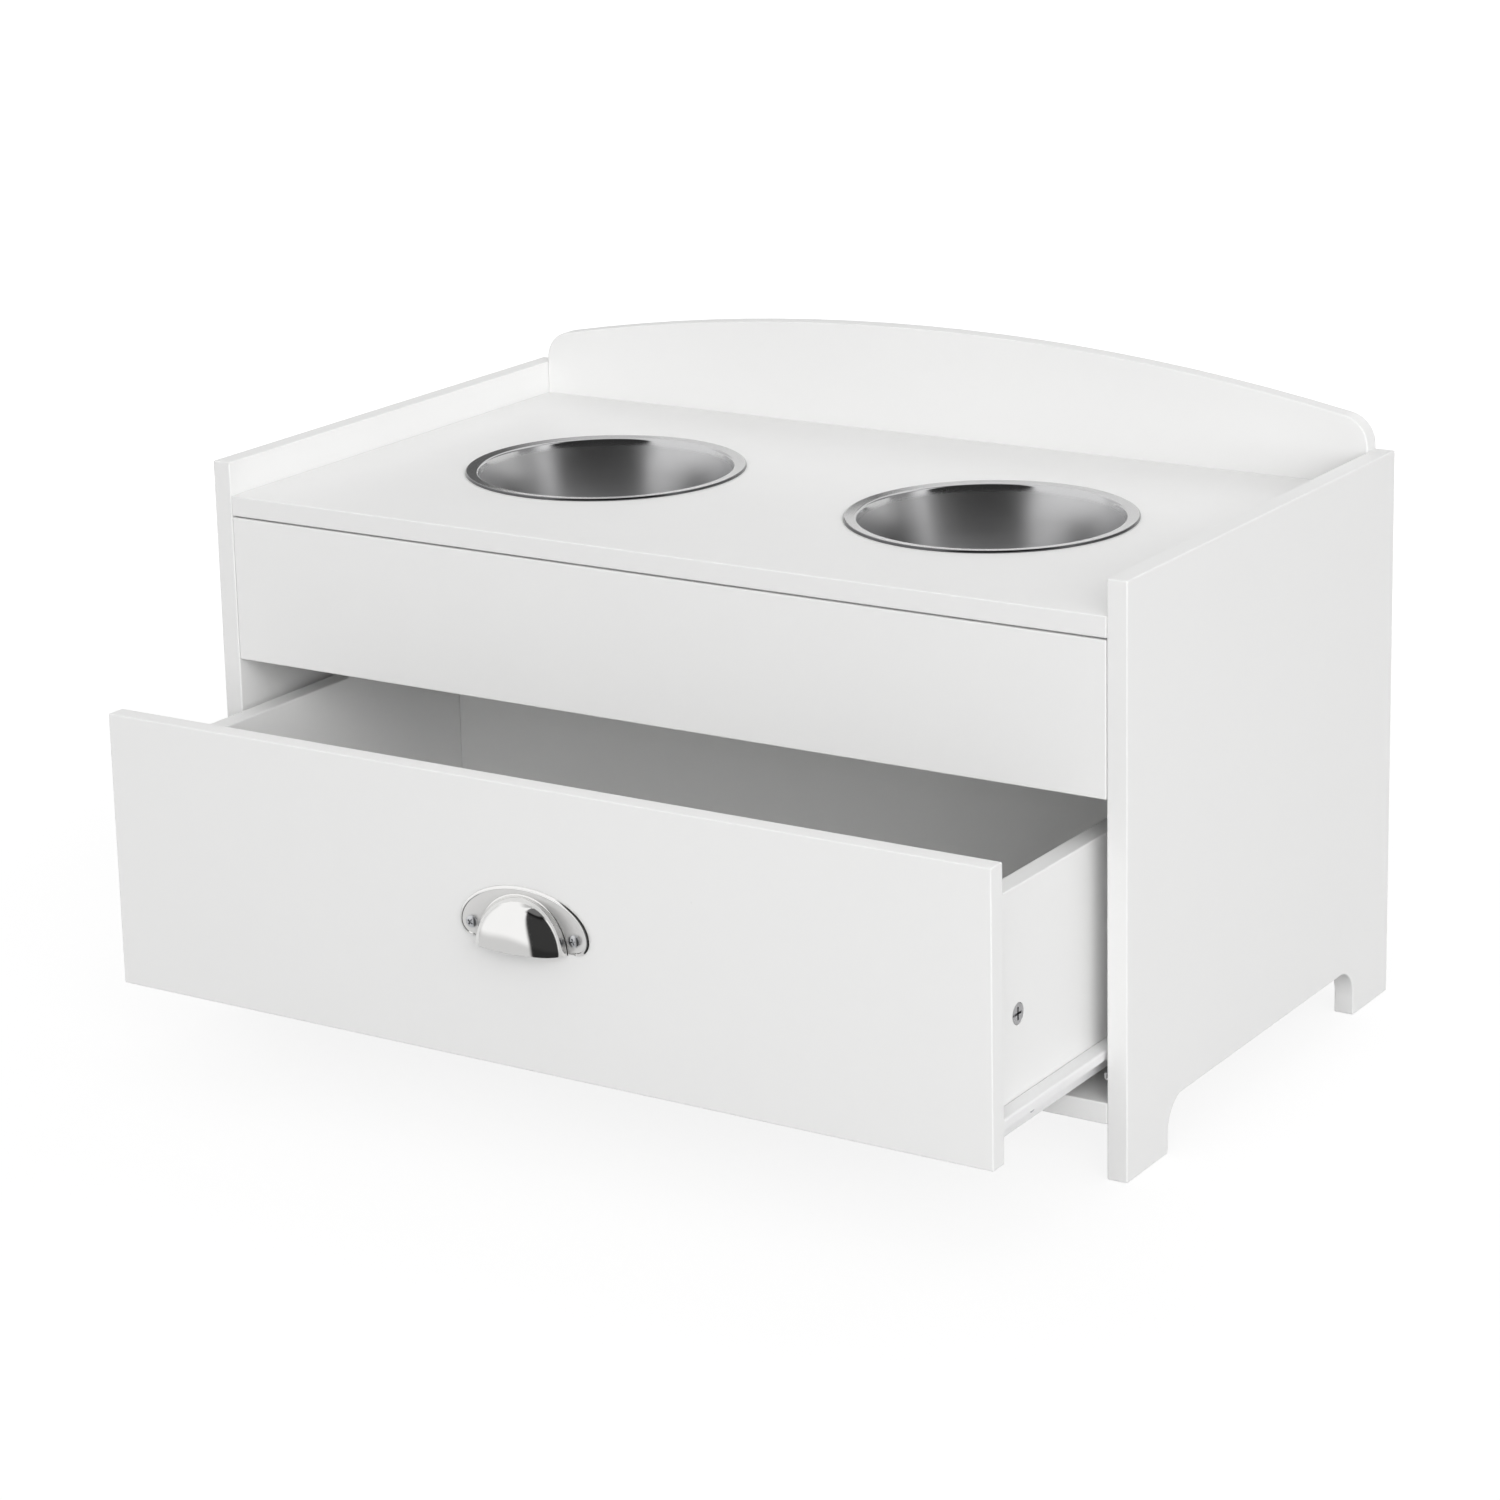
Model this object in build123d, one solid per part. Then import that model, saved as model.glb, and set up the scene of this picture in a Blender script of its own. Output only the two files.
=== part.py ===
from build123d import *
import math
import os

# Elevated dog feeder with storage: a lacquered board cabinet on four feet, with
# two lift-out steel bowls in its top and one inset drawer on roller slides.
#
# Millimetres. +X is the right-hand side seen from the front, +Y runs from the
# front to the back and +Z is up from the floor. The drawer stands part open.
# Everything is worked out with the cabinet's front face at y = 0, and the
# finished pieces are moved so that the origin lies on the floor, midway between
# the two sides and midway between the cup pull and the cabinet's back.

# ---- driving sizes: cabinet -------------------------------------------------
WIDTH = 600.0            # over both side panels
DEPTH = 335.0            # front to back
SIDE_HEIGHT = 330.0      # floor to the top edge of a side panel
BOARD = 12.0             # every structural board
EDGE_ROUND = 0.8         # softened board edges
FOOT_LENGTH = 48.0       # each foot, front to back
FOOT_HEIGHT = 30.0       # height of the cut-out between the feet
FOOT_CURVE = 18.0        # rounded top corners of that cut-out
BOTTOM_LIFT = 1.0        # bottom board above the cut-out's top
TOP_SINK = 20.0          # top board below the side panels' top edges
APRON_HEIGHT = 86.0      # fixed front rail under the top board
APRON_SHADOW = 1.0       # shadow gap between the apron and the top board
APRON_FIT = 0.3          # each end of the apron to its side panel
HOLE_SPARE = 0.3         # how much deeper a blind hole or groove is than what it holds
ARCH_APEX = 376.0        # floor to the top of the arched backboard
ARCH_SPRING = 347.4      # floor to the arc's ends, before their corners are rounded
ARCH_CORNER = 18.0       # rounded upper corners of the backboard
ARCH_FOOT = 238.0        # floor to the backboard's lower edge
PANEL = 3.0              # thin back panel and drawer bottom
GROOVE_DEPTH = 4.0       # grooves that hold the thin panels
GROOVE_FIT = 0.1         # play on each face of a thin panel
GROOVE_INSET = 5.0       # back panel's rear face in from the cabinet's back

# ---- driving sizes: drawer --------------------------------------------------
DRAWER_OPEN = 119.6      # how far the drawer stands out at rest
DRAWER_TRAVEL = 225.0    # closed to fully out
DRAWER_REVEAL = 2.0      # gap round the drawer front, sides and top
DRAWER_RAISE = 4.6       # drawer front above the bottom board
DRAWER_FRONT_HEIGHT = 161.4
DRAWER_BOX_RAISE = 12.2  # drawer sides above the bottom board
DRAWER_BOX_HEIGHT = 129.5
DRAWER_BACK_ROOM = 15.0  # closed drawer to the back panel
DRAWER_FLOOR_RAISE = 9.0  # underside of the drawer bottom above the sides' lower edges
SLIDE_SPACE = 12.5       # drawer side to cabinet side

# ---- driving sizes: roller slides -------------------------------------------
STEEL = 1.2              # rolled slide section
BEND = 1.4               # outside radius of the section's bends
BEND_INSIDE = 0.4        # inside radius of the same bends
ROLLER_RADIUS = 6.5
ROLLER_WIDTH = 4.8
ROLLER_PLAY = 0.1        # roller to the track it carries
ROLLER_HEADROOM = 0.3    # roller to the flange above it
ROLLER_BORE_PLAY = 0.05  # radial, roller on its axle
AXLE_RADIUS = 2.0
AXLE_SHOULDER = 2.4      # radius of the shoulder that spaces the roller off
AXLE_HEAD = 3.6          # radius of the riveted head
AXLE_HEAD_THICK = 0.8
AXLE_FROM_END = 10.0     # roller centre to the end of its slide member
AXLE_STAGGER = 7.3       # drawer rollers' centres below the cabinet rollers' centres
AXLE_END_PLAY = 0.2      # roller to the head and the shoulder beside it
ROLLER_STANDOFF = 2.4    # roller to the web of the drawer member
ROLLER_SIDE_PLAY = 0.3   # cabinet roller to the lip of the drawer member
CARRIER_HEIGHT = 17.1    # drawer member, under the side to the top of its flange
CARRIER_LEDGE = 13.5     # drawer member's ledge under the drawer side
CARRIER_TAB = 3.6        # rear axle tab below the ledge
TRACK_TAIL = 1.0         # cabinet member past the closed drawer's slide
TRACK_SETBACK = 18.0     # cabinet member behind the cabinet's front face
TRACK_WIDTH = 11.0       # cabinet member's lower flange
TRACK_LIP = 4.0          # upturned lip of the lower flange
TRACK_CAP = 8.5          # cabinet member's upper flange
STOP_HEIGHT = 4.0        # lanced stops on the track
STOP_PLAY = 0.3          # roller to a stop at the end of its travel
SLIDE_SCREW_HEAD = 3.5   # head radius
SLIDE_SCREW_THICK = 1.0
SLIDE_SCREW_SHANK = 1.5
SLIDE_SCREW_LENGTH = 10.0
SLIDE_SCREW_FROM_END = 45.0
SLIDE_SCREW_RISE = 7.7   # drawer member's screws above the underside of its ledge

# ---- driving sizes: bowls ---------------------------------------------------
BOWL_FROM_SIDE = 156.5   # side panel to the nearer bowl's centre
BOWL_FROM_FRONT = 159.5  # cabinet front to the bowls' centres
BOWL_RIM_RADIUS = 84.0
BOWL_MOUTH_RADIUS = 76.5
BOWL_BASE_RADIUS = 62.0
BOWL_DEPTH = 55.0
BOWL_CURVE = 20.0        # inside radius between the base and the wall
BOWL_WALL = 0.8
BOWL_RIM_RISE = 1.5      # top of the rim above the top board
BOWL_RIM_ROLL = 0.7      # rounding of the rim's outer edge
BOWL_MOUTH_ROLL = 1.6    # rounding from the rim into the bowl
BOWL_HOLE_PLAY = 0.9     # bowl wall to its hole

# ---- driving sizes: cup pull ------------------------------------------------
PULL_SCREW_SPACING = 67.3
PULL_LOBE = 8.7          # radius of the flange's ends
PULL_ARCH = 24.3         # screw line to the top of the flange
PULL_FLANGE = 2.0
PULL_BEVEL = 0.9
PULL_CUP_RADIUS = 28.6   # half width and height of the cup
PULL_CUP_REACH = 15.5    # cup's reach in front of the flange
PULL_CUP_FULLNESS = 0.66  # how square its profile is: 0.55 is an ellipse, 1 a box
PULL_LIP_RISE = 0.9      # front of the cup's lip above its two ends
PULL_WALL = 1.3
PULL_BEAD = 0.8          # raised bead round the foot of the cup
PULL_SCREW_HEAD = 3.4
PULL_SCREW_HEAD_HEIGHT = 2.0
PULL_SCREW_SHANK = 1.5
PULL_SCREW_LENGTH = 11.0

# ---- driving sizes: joinery -------------------------------------------------
CAM_RADIUS = 6.0         # bored pocket of a cam lock
CAM_DEPTH = 9.5
CAM_PLAY = 0.1           # cam lock in its pocket
CAM_SETBACK = 34.0       # cam centre from the joint
CAM_SLOT_PLAY = 0.3      # cam lock's slot round the bolt's neck and head
CAM_FROM_FRONT = 50.0    # rows of cams in the top and bottom boards
CAM_FROM_BACK = 67.0
DRAWER_CAM_RISE = 60.4   # drawer's cams above the sides' lower edges
BOLT_THREAD = 2.5        # radius of the cam bolt's threaded end
BOLT_THREAD_LENGTH = 8.0
BOLT_SHANK = 2.0
BOLT_NECK = 1.4
BOLT_HEAD = 2.5
BOLT_HEAD_LENGTH = 2.2
BOLT_BORE = 3.5          # radius of the bore through which the bolt reaches its cam
DOWEL_RADIUS = 3.0
DOWEL_LENGTH = 24.0
DOWEL_IN_FACE = 8.0      # how much of a dowel stands in the face of a board
DOWEL_PLAY = 0.1
DOWEL_BEVEL = 0.6
DOWEL_FROM_FRONT = 150.0  # dowels in the top and bottom boards' ends
DOWEL_FROM_SIDE = 58.0   # dowels between the top board and the backboard
DOWEL_FROM_EDGE = 18.0   # dowels in the apron and the drawer sides, from their edges
BACK_SCREW_HEAD = 3.5
BACK_SCREW_SHANK = 1.6
BACK_SCREW_LENGTH = 34.0
BACK_SCREW_SINK = 2.0    # countersink
BACK_SCREW_FROM_EDGE = 30.0  # from the drawer back's upper and lower edges
CROSS_REACH = 1.9        # cross recesses of the screws: half length, half width, depth
CROSS_HALF = 0.45
CROSS_DEPTH = 1.2
CAM_CROSS_REACH = 3.6    # the same for the cam locks
CAM_CROSS_HALF = 0.7
CAM_CROSS_DEPTH = 1.5

# ---- places worked out from the sizes ---------------------------------------
side_inner = WIDTH / 2 - BOARD
back_y = DEPTH - BOARD                    # front face of the backboard
bottom_z = FOOT_HEIGHT + BOTTOM_LIFT
floor_z = bottom_z + BOARD                # top of the bottom board
table_z = SIDE_HEIGHT - TOP_SINK          # top of the top board
top_z = table_z - BOARD                   # underside of the top board
apron_top = top_z - APRON_SHADOW
apron_z = apron_top - APRON_HEIGHT
front_half = side_inner - DRAWER_REVEAL   # half width of the drawer front
front_z = floor_z + DRAWER_RAISE
front_top = front_z + DRAWER_FRONT_HEIGHT
box_outer = side_inner - SLIDE_SPACE
box_inner = box_outer - BOARD
box_z = floor_z + DRAWER_BOX_RAISE
box_top = box_z + DRAWER_BOX_HEIGHT
box_back = DEPTH - GROOVE_INSET - PANEL - DRAWER_BACK_ROOM  # closed drawer's rear
box_floor = box_z + DRAWER_FLOOR_RAISE
groove_half = PANEL / 2 + GROOVE_FIT
back_panel_y = DEPTH - GROOVE_INSET - PANEL / 2
box_floor_mid = box_floor + PANEL / 2
tongue = GROOVE_DEPTH - HOLE_SPARE        # how far a thin panel reaches into a groove

carrier_face = box_outer + STEEL          # outer face of the drawer member's web
carrier_z = box_z - STEEL
carrier_top = carrier_z + CARRIER_HEIGHT
flange_under = carrier_top - STEEL
front_axle_z = flange_under - ROLLER_PLAY - ROLLER_RADIUS
front_axle_y = TRACK_SETBACK + AXLE_FROM_END
carrier_lip_z = front_axle_z + AXLE_SHOULDER + ROLLER_HEADROOM
rear_axle_z = front_axle_z - AXLE_STAGGER
rear_axle_y = box_back - AXLE_FROM_END
track_z = rear_axle_z - ROLLER_RADIUS - ROLLER_PLAY
cap_z = rear_axle_z + ROLLER_RADIUS + ROLLER_HEADROOM
roller_in = carrier_face + ROLLER_STANDOFF
roller_out = roller_in + ROLLER_WIDTH
carrier_edge = roller_out + ROLLER_SIDE_PLAY + STEEL
stop_reach = math.sqrt(ROLLER_RADIUS ** 2 - (ROLLER_RADIUS - STOP_HEIGHT) ** 2)

bowl_centres = [BOWL_FROM_SIDE - side_inner, side_inner - BOWL_FROM_SIDE]
hole_radius = BOWL_MOUTH_RADIUS + BOWL_WALL + BOWL_HOLE_PLAY
pull_z = front_z + DRAWER_FRONT_HEIGHT / 2
pull_reach = PULL_FLANGE + PULL_CUP_REACH
pull_base = pull_z - PULL_LOBE

# ---- the model's origin -----------------------------------------------------
ORIGIN_Y = (DEPTH - DRAWER_OPEN - pull_reach) / 2
to_cabinet = Pos(0, -ORIGIN_Y, 0)
to_drawer = Pos(0, -ORIGIN_Y - DRAWER_OPEN, 0)

os.makedirs("parts", exist_ok=True)


def write(name, shape, place):
    """Write one piece, or a list of like pieces, in its finished place."""
    if isinstance(shape, list):
        moved = Compound([place * s for s in shape])
    else:
        moved = place * shape
    moved.label = name
    export_step(moved, "parts/" + name + ".step")


def block(x0, x1, y0, y1, z0, z1):
    centre = Pos((x0 + x1) / 2, (y0 + y1) / 2, (z0 + z1) / 2)
    return centre * Box(abs(x1 - x0), abs(y1 - y0), abs(z1 - z0))


def board(x0, x1, y0, y1, z0, z1):
    """A board with all its edges softened."""
    plain = block(x0, x1, y0, y1, z0, z1)
    return fillet(plain.edges(), EDGE_ROUND)


def rod(start, direction, radius, length):
    """A cylinder that starts at a point and runs along a direction."""
    return Plane(origin=start, z_dir=direction) * Cylinder(
        radius, length, align=(Align.CENTER, Align.CENTER, Align.MIN)
    )


def turned(start, direction, steps):
    """A turned piece: (radius, length) steps one after another along a direction."""
    at = Vector(*start)
    way = Vector(*direction)
    whole = None
    for radius, length in steps:
        piece = rod(at, way, radius, length)
        whole = piece if whole is None else whole + piece
        at = at + way * length
    return whole


def spaced(start, direction, distance):
    return Vector(*start) + Vector(*direction) * distance


def cross(reach, half, depth):
    """The cutter of a cross recess, going down from the XY plane."""
    long = block(-reach, reach, -half, half, -depth, depth)
    short = block(-half, half, -reach, reach, -depth, depth)
    return long + short


def mirrored(shape):
    return mirror(shape, about=Plane.YZ)


# ---- fittings ---------------------------------------------------------------
class CamJoint:
    """A cam lock in a board's face and the bolt that ties it to the next board.

    face is the cam's centre on the face, out points out of that face and toward
    points from the cam to the joint.
    """

    def __init__(self, face, out, toward):
        self.plane = Plane(origin=face, x_dir=toward, z_dir=out)

    def pocket(self):
        bore = Pos(0, 0, -CAM_DEPTH) * Cylinder(
            CAM_RADIUS, CAM_DEPTH + 1, align=(Align.CENTER, Align.CENTER, Align.MIN)
        )
        way = Pos(0, 0, -BOARD / 2) * Rot(0, 90, 0) * Cylinder(
            BOLT_BORE, CAM_SETBACK, align=(Align.CENTER, Align.CENTER, Align.MIN)
        )
        return self.plane * (bore + way)

    def thread_hole(self):
        hole = Pos(CAM_SETBACK, 0, -BOARD / 2) * Rot(0, 90, 0) * Cylinder(
            BOLT_THREAD,
            BOLT_THREAD_LENGTH + HOLE_SPARE,
            align=(Align.CENTER, Align.CENTER, Align.MIN),
        )
        return self.plane * hole

    def cam(self):
        high = CAM_DEPTH - 2 * CAM_PLAY
        body = Pos(0, 0, -CAM_DEPTH + CAM_PLAY) * Cylinder(
            CAM_RADIUS - CAM_PLAY, high, align=(Align.CENTER, Align.CENTER, Align.MIN)
        )
        mid = -BOARD / 2
        neck = BOLT_NECK + CAM_SLOT_PLAY
        head = BOLT_HEAD + CAM_SLOT_PLAY
        body -= block(0, CAM_RADIUS + 1, -neck, neck, -CAM_DEPTH, mid + neck)
        long = BOLT_HEAD_LENGTH / 2 + CAM_SLOT_PLAY
        body -= block(-long, long, -head, head, -CAM_DEPTH, mid + head)
        body -= cross(CAM_CROSS_REACH, CAM_CROSS_HALF, CAM_PLAY + CAM_CROSS_DEPTH)
        return self.plane * body

    def bolt(self):
        neck_end = CAM_RADIUS + 0.5
        steps = [
            (BOLT_HEAD, BOLT_HEAD_LENGTH),
            (BOLT_NECK, neck_end - BOLT_HEAD_LENGTH / 2),
            (BOLT_SHANK, CAM_SETBACK - neck_end),
            (BOLT_THREAD, BOLT_THREAD_LENGTH),
        ]
        start = self.plane.from_local_coords(Vector(-BOLT_HEAD_LENGTH / 2, 0, -BOARD / 2))
        return turned(start, self.plane.x_dir, steps)


class Dowel:
    """A wooden dowel across the joint at a point, face-side first."""

    def __init__(self, joint, into_face):
        self.joint = joint
        self.way = into_face

    def pin(self):
        start = spaced(self.joint, self.way, DOWEL_IN_FACE - DOWEL_LENGTH)
        plain = rod(start, self.way, DOWEL_RADIUS, DOWEL_LENGTH)
        ends = plain.edges().filter_by(GeomType.CIRCLE)
        return chamfer(ends, DOWEL_BEVEL)

    def hole(self):
        start = spaced(self.joint, self.way, DOWEL_IN_FACE - DOWEL_LENGTH - HOLE_SPARE)
        long = DOWEL_LENGTH + 2 * HOLE_SPARE
        return rod(start, self.way, DOWEL_RADIUS + DOWEL_PLAY, long)


def phillips(top, into):
    """The cross recess of a screw head whose top centre and inward way are given."""
    return Plane(origin=top, z_dir=into) * cross(CROSS_REACH, CROSS_HALF, CROSS_DEPTH)


# ---- cabinet joinery, right-hand half ---------------------------------------
RIGHT = (1, 0, 0)
LEFT = (-1, 0, 0)
FRONT = (0, -1, 0)
BACK = (0, 1, 0)
UP = (0, 0, 1)
DOWN = (0, 0, -1)

cam_x = side_inner - CAM_SETBACK
cam_rows = [CAM_FROM_FRONT, DEPTH - CAM_FROM_BACK]
rail_z = (ARCH_FOOT + top_z) / 2
apron_mid = apron_z + APRON_HEIGHT / 2
top_cams = [CamJoint((cam_x, y, top_z), DOWN, RIGHT) for y in cam_rows]
bottom_cams = [CamJoint((cam_x, y, bottom_z), DOWN, RIGHT) for y in cam_rows]
back_cam = CamJoint((cam_x, DEPTH, rail_z), BACK, RIGHT)
apron_cam = CamJoint((cam_x - APRON_FIT, BOARD, apron_mid), BACK, RIGHT)
cabinet_cam_joints = top_cams + bottom_cams + [back_cam, apron_cam]

top_dowel = Dowel((side_inner, DOWEL_FROM_FRONT, top_z + BOARD / 2), RIGHT)
bottom_dowel = Dowel((side_inner, DOWEL_FROM_FRONT, bottom_z + BOARD / 2), RIGHT)
back_dowel = Dowel((side_inner, DEPTH - BOARD / 2, table_z), RIGHT)
apron_dowel = Dowel((side_inner, BOARD / 2, apron_z + DOWEL_FROM_EDGE), RIGHT)
side_dowels = [top_dowel, bottom_dowel, back_dowel, apron_dowel]
rear_dowel_x = side_inner - DOWEL_FROM_SIDE
rear_dowels = [
    Dowel((x, back_y, top_z + BOARD / 2), BACK) for x in (-rear_dowel_x, 0, rear_dowel_x)
]


def both(shapes):
    """Shapes made for the right-hand side, with their mirror images."""
    made = list(shapes)
    return made + [mirrored(s) for s in made]


# ---- side panels ------------------------------------------------------------
cut_out = block(
    side_inner - 1, WIDTH / 2 + 1, FOOT_LENGTH, DEPTH - FOOT_LENGTH, -FOOT_HEIGHT, FOOT_HEIGHT
)
cut_top = cut_out.edges().filter_by(Axis.X).group_by(Axis.Z)[-1]
cut_out = fillet(cut_top, min(FOOT_CURVE, FOOT_HEIGHT * 0.9))
side = block(side_inner, WIDTH / 2, 0, DEPTH, 0, SIDE_HEIGHT) - cut_out
side = fillet(side.edges(), EDGE_ROUND)
side -= block(
    side_inner - 1,
    side_inner + GROOVE_DEPTH,
    back_panel_y - groove_half,
    back_panel_y + groove_half,
    floor_z - GROOVE_DEPTH,
    ARCH_FOOT + GROOVE_DEPTH,
)
for joint in cabinet_cam_joints:
    side -= joint.thread_hole()
for dowel in side_dowels:
    side -= dowel.hole()


def slide_rows(front, back):
    """Where a slide member is screwed: near both ends and halfway."""
    return [front + SLIDE_SCREW_FROM_END, (front + back) / 2, back - SLIDE_SCREW_FROM_END]


# the cabinet members' screws go into these pilot holes
track_back = rear_axle_y + AXLE_FROM_END + TRACK_TAIL
track_screw_y = slide_rows(TRACK_SETBACK, track_back)
track_screw_z = (cap_z + track_z) / 2


def slide_screw(x, y, z, way):
    """A flat-headed screw whose head bears on the face at x."""
    return turned(
        (x - way[0] * SLIDE_SCREW_THICK, y, z),
        way,
        [
            (SLIDE_SCREW_HEAD, SLIDE_SCREW_THICK),
            (SLIDE_SCREW_SHANK, SLIDE_SCREW_LENGTH),
        ],
    )


def slide_pilot(x, y, z, way):
    start = (x - way[0], y, z)
    return rod(start, way, SLIDE_SCREW_SHANK, SLIDE_SCREW_LENGTH + 1 + HOLE_SPARE)


track_face = side_inner - STEEL
for y in track_screw_y:
    side -= slide_pilot(track_face, y, track_screw_z, RIGHT)

write("right_side_panel", side, to_cabinet)
write("left_side_panel", mirrored(side), to_cabinet)

# ---- top board --------------------------------------------------------------
top = board(-side_inner, side_inner, 0, back_y, top_z, table_z)
for x in bowl_centres:
    top -= rod((x, BOWL_FROM_FRONT, top_z - 1), UP, hole_radius, BOARD + 2)
for cut in both([c.pocket() for c in top_cams] + [top_dowel.hole()]):
    top -= cut
for dowel in rear_dowels:
    top -= dowel.hole()
write("top_board", top, to_cabinet)

# ---- bottom board -----------------------------------------------------------
bottom = board(-side_inner, side_inner, 0, DEPTH, bottom_z, floor_z)
bottom -= block(
    -side_inner - 1,
    side_inner + 1,
    back_panel_y - groove_half,
    back_panel_y + groove_half,
    floor_z - GROOVE_DEPTH,
    floor_z + 1,
)
for cut in both([c.pocket() for c in bottom_cams] + [bottom_dowel.hole()]):
    bottom -= cut
write("bottom_board", bottom, to_cabinet)

# ---- front apron ------------------------------------------------------------
apron_half = side_inner - APRON_FIT
apron = board(-apron_half, apron_half, 0, BOARD, apron_z, apron_top)
for cut in both([apron_cam.pocket(), apron_dowel.hole()]):
    apron -= cut
write("front_apron", apron, to_cabinet)

# ---- arched backboard -------------------------------------------------------
arc = ThreePointArc(
    (-side_inner, ARCH_SPRING), (0, ARCH_APEX), (side_inner, ARCH_SPRING)
)
straight = Polyline(
    (side_inner, ARCH_SPRING),
    (side_inner, ARCH_FOOT),
    (-side_inner, ARCH_FOOT),
    (-side_inner, ARCH_SPRING),
)
outline = make_face([arc, straight])
shoulders = outline.vertices().group_by(Axis.Y)[-1]
outline = fillet(shoulders, ARCH_CORNER)
arch = extrude(Plane(origin=(0, DEPTH, 0), x_dir=RIGHT, z_dir=FRONT) * outline, BOARD)
arch = fillet(arch.edges(), EDGE_ROUND)
arch -= block(
    -side_inner - 1,
    side_inner + 1,
    back_panel_y - groove_half,
    back_panel_y + groove_half,
    ARCH_FOOT - 1,
    ARCH_FOOT + GROOVE_DEPTH,
)
for cut in both([back_cam.pocket(), back_dowel.hole()]):
    arch -= cut
for dowel in rear_dowels:
    arch -= dowel.hole()
write("arched_backboard", arch, to_cabinet)

# ---- thin back panel --------------------------------------------------------
back_panel = block(
    -side_inner - tongue,
    side_inner + tongue,
    back_panel_y - PANEL / 2,
    back_panel_y + PANEL / 2,
    floor_z - tongue,
    ARCH_FOOT + tongue,
)
write("back_panel", back_panel, to_cabinet)

# ---- cabinet fittings -------------------------------------------------------
write("cabinet_cam_locks", both([j.cam() for j in cabinet_cam_joints]), to_cabinet)
write("cabinet_cam_bolts", both([j.bolt() for j in cabinet_cam_joints]), to_cabinet)
cabinet_dowels = both([d.pin() for d in side_dowels]) + [d.pin() for d in rear_dowels]
write("cabinet_dowels", cabinet_dowels, to_cabinet)

# ---- cabinet slide members --------------------------------------------------
def bent(section, corners, radius):
    """A rolled section with the bends at these (x, z) corners rounded."""
    runs = section.edges().filter_by(Axis.Y)
    picked = [
        run
        for run in runs
        if any(math.hypot(run.center().X - x, run.center().Z - z) < STEEL / 4 for x, z in corners)
    ]
    return fillet(picked, radius)


track_under = track_z - STEEL
track_in = side_inner - TRACK_WIDTH
ear_back = front_axle_y + AXLE_FROM_END
cap_front = front_axle_y + ROLLER_RADIUS + AXLE_FROM_END
track = block(track_face, side_inner, TRACK_SETBACK, track_back, track_under, cap_z + STEEL)
track += block(track_in, side_inner, TRACK_SETBACK, track_back, track_under, track_z)
track += block(
    track_in, track_in + STEEL, TRACK_SETBACK, track_back, track_under, track_under + TRACK_LIP
)
track = bent(track, [(side_inner, track_under), (track_in, track_under)], BEND)
track = bent(track, [(track_face, track_z), (track_in + STEEL, track_z)], BEND_INSIDE)
track += block(side_inner - TRACK_CAP, side_inner, cap_front, track_back, cap_z, cap_z + STEEL)
track = bent(track, [(track_face, cap_z)], BEND_INSIDE)
track += block(
    track_face,
    side_inner,
    TRACK_SETBACK,
    ear_back,
    track_under,
    front_axle_z + AXLE_SHOULDER + STEEL,
)
stop_closed = rear_axle_y + stop_reach + STOP_PLAY
stop_open = rear_axle_y - DRAWER_TRAVEL - stop_reach - STOP_PLAY - STEEL
for y in (stop_closed, stop_open):
    track += block(roller_in, roller_out, y, y + STEEL, track_under, track_z + STOP_HEIGHT)
for y in track_screw_y:
    track -= slide_pilot(track_face, y, track_screw_z, RIGHT)
track -= rod((track_face - 1, front_axle_y, front_axle_z), RIGHT, AXLE_RADIUS, STEEL + 2)
write("right_cabinet_slide", track, to_cabinet)
write("left_cabinet_slide", mirrored(track), to_cabinet)
track_screws = [slide_screw(track_face, y, track_screw_z, RIGHT) for y in track_screw_y]
write("cabinet_slide_screws", both(track_screws), to_cabinet)

front_axle = turned(
    (roller_in - AXLE_END_PLAY - AXLE_HEAD_THICK, front_axle_y, front_axle_z),
    RIGHT,
    [
        (AXLE_HEAD, AXLE_HEAD_THICK),
        (AXLE_RADIUS, ROLLER_WIDTH + 2 * AXLE_END_PLAY),
        (AXLE_SHOULDER, track_face - roller_out - AXLE_END_PLAY),
        (AXLE_RADIUS, STEEL),
    ],
)
write("cabinet_roller_axles", both([front_axle]), to_cabinet)


# ---- rollers ----------------------------------------------------------------
def roller(y, z):
    """A nylon roller with a shallow dished face on each side."""
    start = (roller_in, y, z)
    wheel = rod(start, RIGHT, ROLLER_RADIUS, ROLLER_WIDTH)
    wheel = chamfer(wheel.edges().filter_by(GeomType.CIRCLE), 0.4)
    dish = rod(start, RIGHT, ROLLER_RADIUS - 1.3, 0.6)
    wheel -= dish
    wheel -= Pos(ROLLER_WIDTH - 0.6, 0, 0) * dish
    wheel += rod(start, RIGHT, AXLE_RADIUS + 1.3, ROLLER_WIDTH)
    return wheel - rod(start, RIGHT, AXLE_RADIUS + ROLLER_BORE_PLAY, ROLLER_WIDTH)


front_roller = roller(front_axle_y, front_axle_z)
rear_roller = roller(rear_axle_y, rear_axle_z)
write("front_right_roller", front_roller, to_cabinet)
write("front_left_roller", mirrored(front_roller), to_cabinet)
write("rear_right_roller", rear_roller, to_drawer)
write("rear_left_roller", mirrored(rear_roller), to_drawer)

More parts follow.
